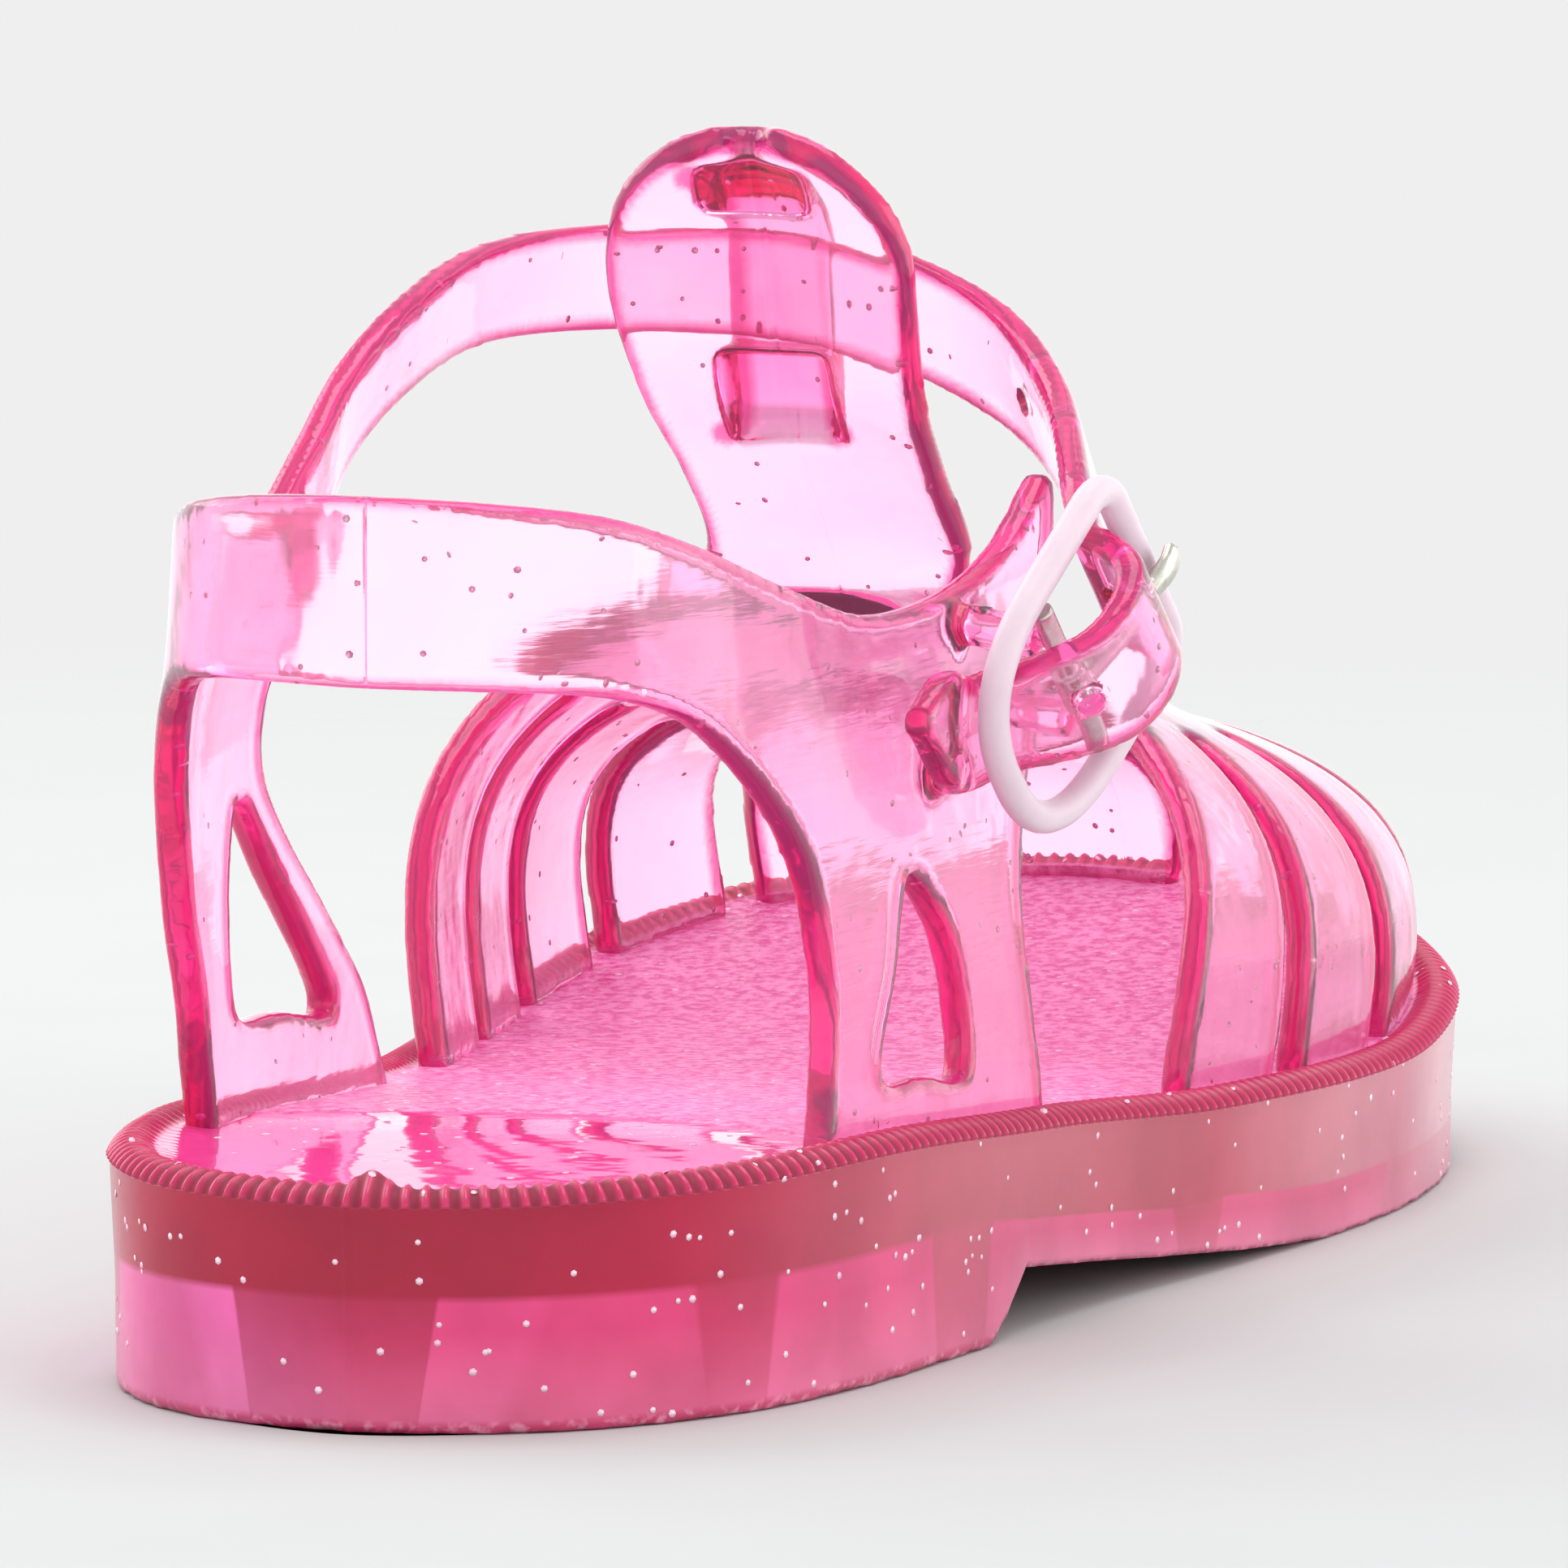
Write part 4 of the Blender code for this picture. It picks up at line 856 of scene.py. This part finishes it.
# the flat pattern is cut along a grid, so that it bends smoothly round the heel
for axis in (0, 1):
    low, high = (pick(v.co[axis] for v in work.verts) for pick in (min, max))
    for cut in np.arange(math.ceil(low / PATTERN_GRID), high / PATTERN_GRID) * PATTERN_GRID:
        at, normal = Vector((0, 0, 0)), Vector((0, 0, 0))
        at[axis], normal[axis] = cut, 1.0
        everything = work.verts[:] + work.edges[:] + work.faces[:]
        bmesh.ops.bisect_plane(work, geom=everything, plane_co=at, plane_no=normal, dist=1e-4)
bmesh.ops.triangulate(work, faces=work.faces[:])
work.verts.index_update()
quarter_points = [wrap(v.co.x, v.co.y) for v in work.verts]
quarter_faces = [[v.index for v in f.verts] for f in work.faces]
work.free()
*quarter_skin, quarter_edges = shell(quarter_points, quarter_faces, QUARTER_SKIN, (-1.0, 0.0, 0.0))

STRAP_SKIN = 2.1
STRAP = (
    # x, y, z, width direction, half width
    (39.0, 19.3, 50.4, -0.35, -0.05, 0.94, 4.3), (48.5, 19.9, 55.2, -0.42, -0.15, 0.89, 4.3),
    (56.5, 20.2, 59.9, -0.43, -0.25, 0.87, 4.0), (65.0, 19.0, 63.9, -0.40, -0.25, 0.88, 3.8),
    (77.5, 17.4, 66.6, -0.35, -0.20, 0.91, 3.7), (88.0, 12.2, 67.1, -0.28, -0.10, 0.95, 3.8),
    (92.6, 0.0, 66.8, -0.22, 0.0, 0.97, 4.1), (91.0, -9.0, 64.9, -0.22, 0.10, 0.97, 4.2),
    (87.0, -17.4, 61.6, -0.26, 0.10, 0.95, 4.4), (79.0, -24.0, 57.4, -0.40, 0.10, 0.90, 4.8),
)
STRAP_ON_PRONG = (6.9, 0.3, 0.5, 5.2)
STRAP_IN_BUCKLE = (
    # along, across and outward of the buckle, half width
    (9.4, 0.2, -2.95, 5.2), (7.5, 0.2, -1.5, 5.2), STRAP_ON_PRONG, (5.7, 0.3, 2.8, 5.2), (3.0, 0.4, 4.0, 5.2),
    (-0.8, 0.6, 3.6, 5.1), (-4.0, 1.0, 1.0, 4.8), (-6.8, 1.4, -2.5, 4.4), (-9.3, 2.8, -3.2, 3.9),
)
STRAP_TAIL = ((46.6, -25.4, 41.8, 0.15, 0.0, 0.99, 3.6), (42.4, -24.9, 42.4, 0.1, 0.0, 0.99, 0.9))
BUCKLE_CENTRE = np.array((57.0, -31.3, 44.6))
BUCKLE_ALONG = np.array((0.675, -0.256, 0.69))
BUCKLE_OUT = np.array((-0.237, -0.955, -0.122))
along_axis = unit(BUCKLE_ALONG)
out_axis = unit(BUCKLE_OUT - BUCKLE_OUT.dot(along_axis) * along_axis)
across_axis = np.cross(out_axis, along_axis)


def in_buckle(run, sideways, out):
    """A point in the buckle's own directions, in millimetres from the back of the heel."""
    return BUCKLE_CENTRE + run * along_axis + sideways * across_axis + out * out_axis


strap_rows = list(STRAP) + [(*in_buckle(*row[:3]), *across_axis, row[3]) for row in STRAP_IN_BUCKLE]
strap_path = spline(strap_rows + list(STRAP_TAIL), 20)
strap_points, strap_faces, strap_facing = [], [], []
for row, way in zip(strap_path, unit(np.gradient(strap_path[:, :3], axis=0))):
    face = unit(np.cross(way, row[3:6]))
    strap_facing.append(face)
    width = np.cross(face, way)
    half, thick = row[6], STRAP_SKIN / 2
    corner = min(RIM, half * 0.5)
    section = [(half - corner, thick), (half - corner * ROUND, thick - RIM * ROUND), (half, thick - RIM)]
    section += [(w, -t) for w, t in reversed(section)]
    section += [(-w, t) for w, t in reversed(section)]
    strap_points += [tuple(row[:3] + width * w + face * t) for w, t in section]
    quarter_edges += [row[:3] + width * half, row[:3] - width * half]
size = len(section)
for r in range(len(strap_path) - 1):
    strap_faces += band(r * size, (r + 1) * size, size)
strap_faces += [tuple(range(size)), tuple(range(len(strap_points) - size, len(strap_points)))]


def bar(line, across_radius, up_radius, sides=16):
    """Points and faces of a closed bar of oval section along a line, with radii for each of its points."""
    line = np.asarray(line, float)
    bar_points, bar_faces = [], []
    for p, way, wide, tall in zip(line, unit(np.gradient(line, axis=0)), across_radius, up_radius):
        helper = out_axis if abs(way.dot(out_axis)) < 0.9 else across_axis
        one = unit(np.cross(way, helper))
        two = np.cross(way, one)
        bar_points += [tuple(p + wide * math.cos(t) * one + tall * math.sin(t) * two)
                       for t in np.linspace(0, 2 * math.pi, sides, endpoint=False)]
    for r in range(len(line) - 1):
        bar_faces += band(r * sides, (r + 1) * sides, sides)
    bar_faces += [tuple(range(sides)), tuple(range(len(bar_points) - sides, len(bar_points)))]
    return bar_points, bar_faces


# two lugs on the tab hold the buckle's bar
BAR_ALONG, BAR_OUT, BAR_RADIUS = -0.8, 0.05, 0.8
LUG_ACROSS, LUG_HALF, LUG_FOOT, LUG_CLEAR = 3.6, (1.1, 1.2), -7.2, 0.35
lugs = []
for sideways in (-LUG_ACROSS, LUG_ACROSS):
    corners = [in_buckle(BAR_ALONG + LUG_HALF[0] * r, sideways + LUG_HALF[1] * s, out)
               for out in (LUG_FOOT, BAR_OUT - BAR_RADIUS - LUG_CLEAR)
               for r, s in ((-1, -1), (1, -1), (1, 1), (-1, 1))]
    lugs.append((corners, [(0, 1, 2, 3), (4, 5, 6, 7)] + band(0, 4, 4)))
quarter = fuse("heel_quarter_and_strap", [quarter_skin, (strap_points, strap_faces)] + lugs, QUARTER_VOXEL,
               QUARTER_ROUNDS, upper_pvc, quarter_edges)
# punched holes along the strap, seen as small red rings; the buckle's prong is in the second last
HOLE_RADIUS = 1.0
HOLES_AT = (29.0, 19.5, 10.0, 0.0, -11.5)    # along the strap from the prong towards the loop
PUNCH_REACH = 4.0
strap_run = run_of(strap_path[:, :3])
prong_row = int(np.argmin(np.linalg.norm(strap_path[:, :3] - in_buckle(*STRAP_ON_PRONG[:3]), axis=1)))
for back in HOLES_AT:
    row = int(np.argmin(np.abs(strap_run - strap_run[prong_row] + back)))
    centre, face = strap_path[row, :3], strap_facing[row]
    punch_line = [centre - PUNCH_REACH * face, centre, centre + PUNCH_REACH * face]
    punch = new_piece("strap_punch", *bar(punch_line, [HOLE_RADIUS] * 3, [HOLE_RADIUS] * 3), upper_pvc)
    cut = quarter.modifiers.new("punch", "BOOLEAN")
    cut.operation = "DIFFERENCE"
    cut.solver = "EXACT"
    cut.object = punch
    apply_modifiers(quarter)
    bpy.data.objects.remove(punch)
quarter.data.shade_smooth()
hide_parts("heel_quarter")
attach(quarter, "root")

# Buckle frame
# A D-shaped frame of nearly round section, moulded in milky nylon. Its straight front bar carries the
# prong's tip, and its round back goes over the strap's tail.
FRAME_FRONT, FRAME_BACK, FRAME_HALF, FRAME_CORNER, FRAME_WIRE = 9.6, -10.0, 8.6, 2.4, 1.12
FRAME_FULLNESS = 0.8                         # under 1, the back is fuller than an ellipse
FRAME_FLATNESS = 0.92                        # height of the wire over its width
FRAME_STEPS, FRAME_SIDES = 180, 20
frame_line = []
for t in np.linspace(-math.pi / 2, math.pi / 2, 61):
    frame_line.append((FRAME_BACK * math.cos(t) ** FRAME_FULLNESS,
                       FRAME_HALF * math.copysign(abs(math.sin(t)) ** FRAME_FULLNESS, math.sin(t))))
for sign in (1, -1):
    for t in np.linspace(0, math.pi / 2, 12):
        f = t if sign > 0 else math.pi / 2 - t
        frame_line.append((FRAME_FRONT - FRAME_CORNER * (1 - math.sin(f)),
                           sign * (FRAME_HALF - FRAME_CORNER * (1 - math.cos(f)))))
frame_line = along(np.array(frame_line + frame_line[:1]), np.linspace(0, 1, FRAME_STEPS, endpoint=False))
points, faces = [], []
for k, (run, sideways) in enumerate(frame_line):
    n = (k + 1) % FRAME_STEPS
    way = unit(frame_line[n] - frame_line[k - 1])
    for t in np.linspace(0, 2 * math.pi, FRAME_SIDES, endpoint=False):
        off, rise = FRAME_WIRE * math.cos(t), FRAME_WIRE * FRAME_FLATNESS * math.sin(t)
        points.append(in_buckle(run + way[1] * off, sideways - way[0] * off, rise))
    faces += band(k * FRAME_SIDES, n * FRAME_SIDES, FRAME_SIDES)

# Nylon, injection moulded in its natural milky white: satin, with light that soaks in and softens its
# shading.
milky_nylon, tree, place = new_surface("milky_nylon")
cloud = add(tree, "TexNoise", {"Scale": 1 / 0.003, "Detail": 3.0}, {"Vector": place})       # 3 mm clouds
tint = add(tree, "ValToRGB", {"stops": ((0.0, "#EBDAE5"), (1.0, "#FAEAF3"))}, {"Fac": cloud})
grit = add(tree, "TexNoise", {"Scale": 1 / 0.0004, "Detail": 2.0}, {"Vector": place})       # 0.4 mm grain
grain = add(tree, "Bump", {"Strength": 0.12, "Distance": 0.0001}, {"Height": grit})
body = add(tree, "BsdfPrincipled",
           {"IOR": 1.45, "Roughness": 0.35, "Transmission Weight": 0.25, "Subsurface Weight": 0.5,
            "Subsurface Radius": (1.0, 0.85, 0.9), "Subsurface Scale": 0.001},
           {"Base Color": tint, "Normal": grain})
add(tree, "OutputMaterial", links={"Surface": body})

buckle = new_piece("buckle_frame_ring", points, faces, milky_nylon)
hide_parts("buckle_frame")
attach(buckle, "root")

# Prong and bar
# Steel wire, nickel plated: a bar across the frame, and a prong rolled round it that passes through the strap
# and rests on the front bar with its flattened tip.
PRONG = (
    # along and outward of the buckle
    (-0.8, 0.05), (1.6, 0.5), (4.2, 1.0), (6.9, 1.75), (9.4, 2.3), (11.0, 2.0),
)
PRONG_RADIUS = 0.85
PRONG_TIP = (1.15, 0.55)                     # half width and half height of the flattened tip
PRONG_FLATTENS = (7.0, 9.5)
TIP_NARROWS = 0.7
BAR_HALF = 6.9
EYE_HALF, EYE_RADIUS = 1.7, 1.15             # the rolled end of the prong round the bar
STEEL_VOXEL, STEEL_ROUNDS = 0.14, 4
steel = []
for half, radius in ((BAR_HALF, BAR_RADIUS), (EYE_HALF, EYE_RADIUS)):
    rod = [in_buckle(BAR_ALONG, sideways, BAR_OUT) for sideways in np.linspace(-half, half, 5)]
    steel.append(bar(rod, [radius] * len(rod), [radius] * len(rod)))
prong_line = spline(PRONG, 6)
flat = np.clip((prong_line[:, 0] - PRONG_FLATTENS[0]) / (PRONG_FLATTENS[1] - PRONG_FLATTENS[0]), 0, 1)
wide = PRONG_RADIUS + (PRONG_TIP[0] - PRONG_RADIUS) * flat
wide[-1] *= TIP_NARROWS
tall = PRONG_RADIUS + (PRONG_TIP[1] - PRONG_RADIUS) * flat
steel.append(bar([in_buckle(run, 0.0, out) for run, out in prong_line], wide, tall))

# Nickel-plated steel: bright, slightly warm, with fine drawing marks that blur its reflections.
nickel_steel, tree, place = new_surface("nickel_plated_steel")
drawn = add(tree, "TexNoise", {"Scale": 1 / 0.0005, "Detail": 3.0}, {"Vector": place})      # 0.5 mm marks
tint = add(tree, "ValToRGB", {"stops": ((0.0, "#B5B3A8"), (1.0, "#DEDCD2"))}, {"Fac": drawn})
rough = add(tree, "MapRange", {"To Min": 0.18, "To Max": 0.34}, {"Value": drawn})
body = add(tree, "BsdfPrincipled", {"Metallic": 1.0}, {"Base Color": tint, "Roughness": rough})
add(tree, "OutputMaterial", links={"Surface": body})

prong = fuse("prong_and_bar", steel, STEEL_VOXEL, STEEL_ROUNDS, nickel_steel)
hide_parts("buckle_prong")
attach(prong, "root")

# Glitter
# Flakes of metallised polyester film, about half a millimetre across, mixed into the PVC before moulding.
# In the clear uppers they lie tilted under the surface, and on the sole they lie flat in its face.
FLAKE = 0.24                                 # half the width of a flake
FLAKE_SIZES = (0.75, 1.2)
FLAKE_THICK = 0.04
FLAKE_CORNERS = 6
FLAKES_FROM = 0.5                            # none nearer to the floor
ANY_TURN = 6.3
CM2_PER_M2 = 1e4
SPREADS = (
    # piece, flakes to a square centimetre, least and most depth under its skin, tilt
    (sole, 5.0, -0.02, 0.0, 0.04), (cage, 1.8, 0.2, 1.6, 0.45), (quarter, 1.8, 0.2, 1.6, 0.45),
)
random.seed(7)
points, faces = [], []
for piece, per_square_cm, shallow, deep, tilt in SPREADS:
    mesh = piece.data
    areas = np.zeros(len(mesh.polygons))
    mesh.polygons.foreach_get("area", areas)
    count = int(areas.sum() * CM2_PER_M2 * per_square_cm)
    picks = np.searchsorted(np.cumsum(areas) / areas.sum(), [random.random() for _ in range(count)])
    for index in picks:
        polygon = mesh.polygons[int(min(index, len(areas) - 1))]
        normal = polygon.normal
        if piece is sole and (normal.z < -0.5 or polygon.center.z < FLAKES_FROM * MM):
            continue
        depth = random.uniform(shallow, deep)
        corners = [mesh.vertices[k].co for k in polygon.vertices]
        a, b = random.random(), random.random()
        at = corners[0].lerp(corners[1], a).lerp(corners[-1].lerp(corners[2], a), b)
        centre = at / MM - Vector(HEEL_BACK) - normal * depth
        facing = (normal + Vector([random.gauss(0, tilt) for _ in range(3)])).normalized()
        spin = Matrix.Rotation(random.uniform(0, ANY_TURN), 3, "Z")
        turn = facing.to_track_quat("Z", "Y").to_matrix() @ spin
        size = FLAKE * random.uniform(*FLAKE_SIZES)
        low = len(points)
        high = low + FLAKE_CORNERS
        for z in (-FLAKE_THICK / 2, FLAKE_THICK / 2):
            for t in (k * 2 * math.pi / FLAKE_CORNERS for k in range(FLAKE_CORNERS)):
                points.append(tuple(centre + turn @ Vector((size * math.cos(t), size * math.sin(t), z))))
        faces += [tuple(reversed(range(low, high))), tuple(range(high, high + FLAKE_CORNERS))]
        faces += band(low, high, FLAKE_CORNERS)

# Metallised polyester film: silver, bright from any side, with flakes that differ a little.
silver_film, tree, place = new_surface("metallised_polyester_film")
hue = add(tree, "TexNoise", {"Scale": 1 / 0.002, "Detail": 1.0}, {"Vector": place})         # 2 mm patches
tint = add(tree, "ValToRGB", {"stops": ((0.0, "#F9A9D0"), (1.0, "#FFFFFF"))}, {"Fac": hue})
body = add(tree, "BsdfPrincipled", {"Metallic": 0.35, "Roughness": 0.35}, {"Base Color": tint})
add(tree, "OutputMaterial", links={"Surface": body})

glitter = new_piece("glitter_flakes", points, faces, silver_film)
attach(glitter, "root")

# Studio
# A round sweep of pale paper that fades into an even pale surround, brighter near the horizon, and three soft
# boxes: one overhead, one on the shoe's inner side, and a small fill low on its outer side.
PAPER = "#EFEFEF"
SWEEP_RADIUS, SWEEP_SIDES = 0.5, 64
SWEEP_FADES = (0.16, 0.45)                   # metres from the middle
SKY_STRENGTH = 1.42
SKY = (
    # share of the way from straight down to straight up, brightness
    (0.0, 0.85), (0.4, 0.95), (0.5, 1.0), (0.62, 1.0), (0.75, 0.62), (1.0, 0.55),
)
SOFT_BOXES = (
    # name, place, aim, size, power
    ("overhead_box", (0.05, -0.1, 0.9), (0, 0, 0.03), 0.6, 3.5),
    ("inner_side_box", (0.25, 0.80, 0.60), (0, 0, 0.05), 0.8, 4.5),
    ("outer_fill_box", (0.22, -0.60, 0.13), (0, -0.03, 0.0), 0.4, 0.8),
)
# Matt paper: even, with broad faint clouds and no gloss.
floor_paper, tree, place = new_surface("matte_paper_sweep")
fibre = add(tree, "TexNoise", {"Scale": 1 / 0.025, "Detail": 2.0}, {"Vector": place})       # 25 mm clouds
tint = add(tree, "ValToRGB", {"stops": ((0.0, "#C6C8C8"), (1.0, "#CACCCC"))}, {"Fac": fibre})
body = add(tree, "BsdfPrincipled", {"Roughness": 0.9, "Specular IOR Level": 0.1}, {"Base Color": tint})
out_way = add(tree, "VectorMath", {"operation": "LENGTH"}, {0: place}).outputs["Value"]
fade = add(tree, "MapRange", {"interpolation_type": "SMOOTHSTEP", "From Min": SWEEP_FADES[0],
                              "From Max": SWEEP_FADES[1]}, {"Value": out_way})
clear = add(tree, "BsdfTransparent")
soft_end = add(tree, "MixShader", links={0: fade, 1: body, 2: clear})
add(tree, "OutputMaterial", links={"Surface": soft_end})
mesh = bpy.data.meshes.new("paper_sweep")
rim = np.linspace(0, 2 * math.pi, SWEEP_SIDES, endpoint=False)
mesh.from_pydata([(SWEEP_RADIUS * math.cos(t), SWEEP_RADIUS * math.sin(t), 0.0) for t in rim], [],
                 [tuple(range(SWEEP_SIDES))])
mesh.materials.append(floor_paper)
floor = bpy.data.objects.new("paper_sweep", mesh)
bpy.context.scene.collection.objects.link(floor)
floor.visible_transmission = False
floor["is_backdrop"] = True
surround = bpy.data.worlds.new("pale_surround")
surround.use_nodes = True
tree = surround.node_tree
tree.nodes.clear()
up = add(tree, "SeparateXYZ", links={0: add(tree, "TexCoord").outputs["Generated"]})
height = add(tree, "MapRange", {"From Min": -1.0, "From Max": 1.0}, {"Value": up.outputs["Z"]})
sky = add(tree, "ValToRGB", {"stops": SKY}, {"Fac": height})
sky.color_ramp.interpolation = "EASE"
lit = add(tree, "Background", {"Strength": SKY_STRENGTH}, {"Color": sky})
seen = add(tree, "Background", {"Color": srgb(PAPER)})
ray = add(tree, "LightPath")
mix = add(tree, "MixShader", links={0: ray.outputs["Is Camera Ray"], 1: lit, 2: seen})
add(tree, "OutputWorld", links={"Surface": mix})
bpy.context.scene.world = surround
for name, spot, aim, size, power in SOFT_BOXES:
    light = bpy.data.lights.new(name, "AREA")
    light.shape = "SQUARE"
    light.size = size
    light.energy = power
    lamp = bpy.data.objects.new(name, light)
    lamp.location = spot
    lamp.rotation_euler = (Vector(aim) - Vector(spot)).to_track_quat("-Z", "Y").to_euler()
    bpy.context.scene.collection.objects.link(lamp)
bpy.context.scene.view_settings.view_transform = "Standard"
bpy.context.scene.cycles.max_bounces = 10
bpy.context.scene.cycles.transmission_bounces = 10
bpy.context.scene.cycles.diffuse_bounces = 3

low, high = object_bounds()
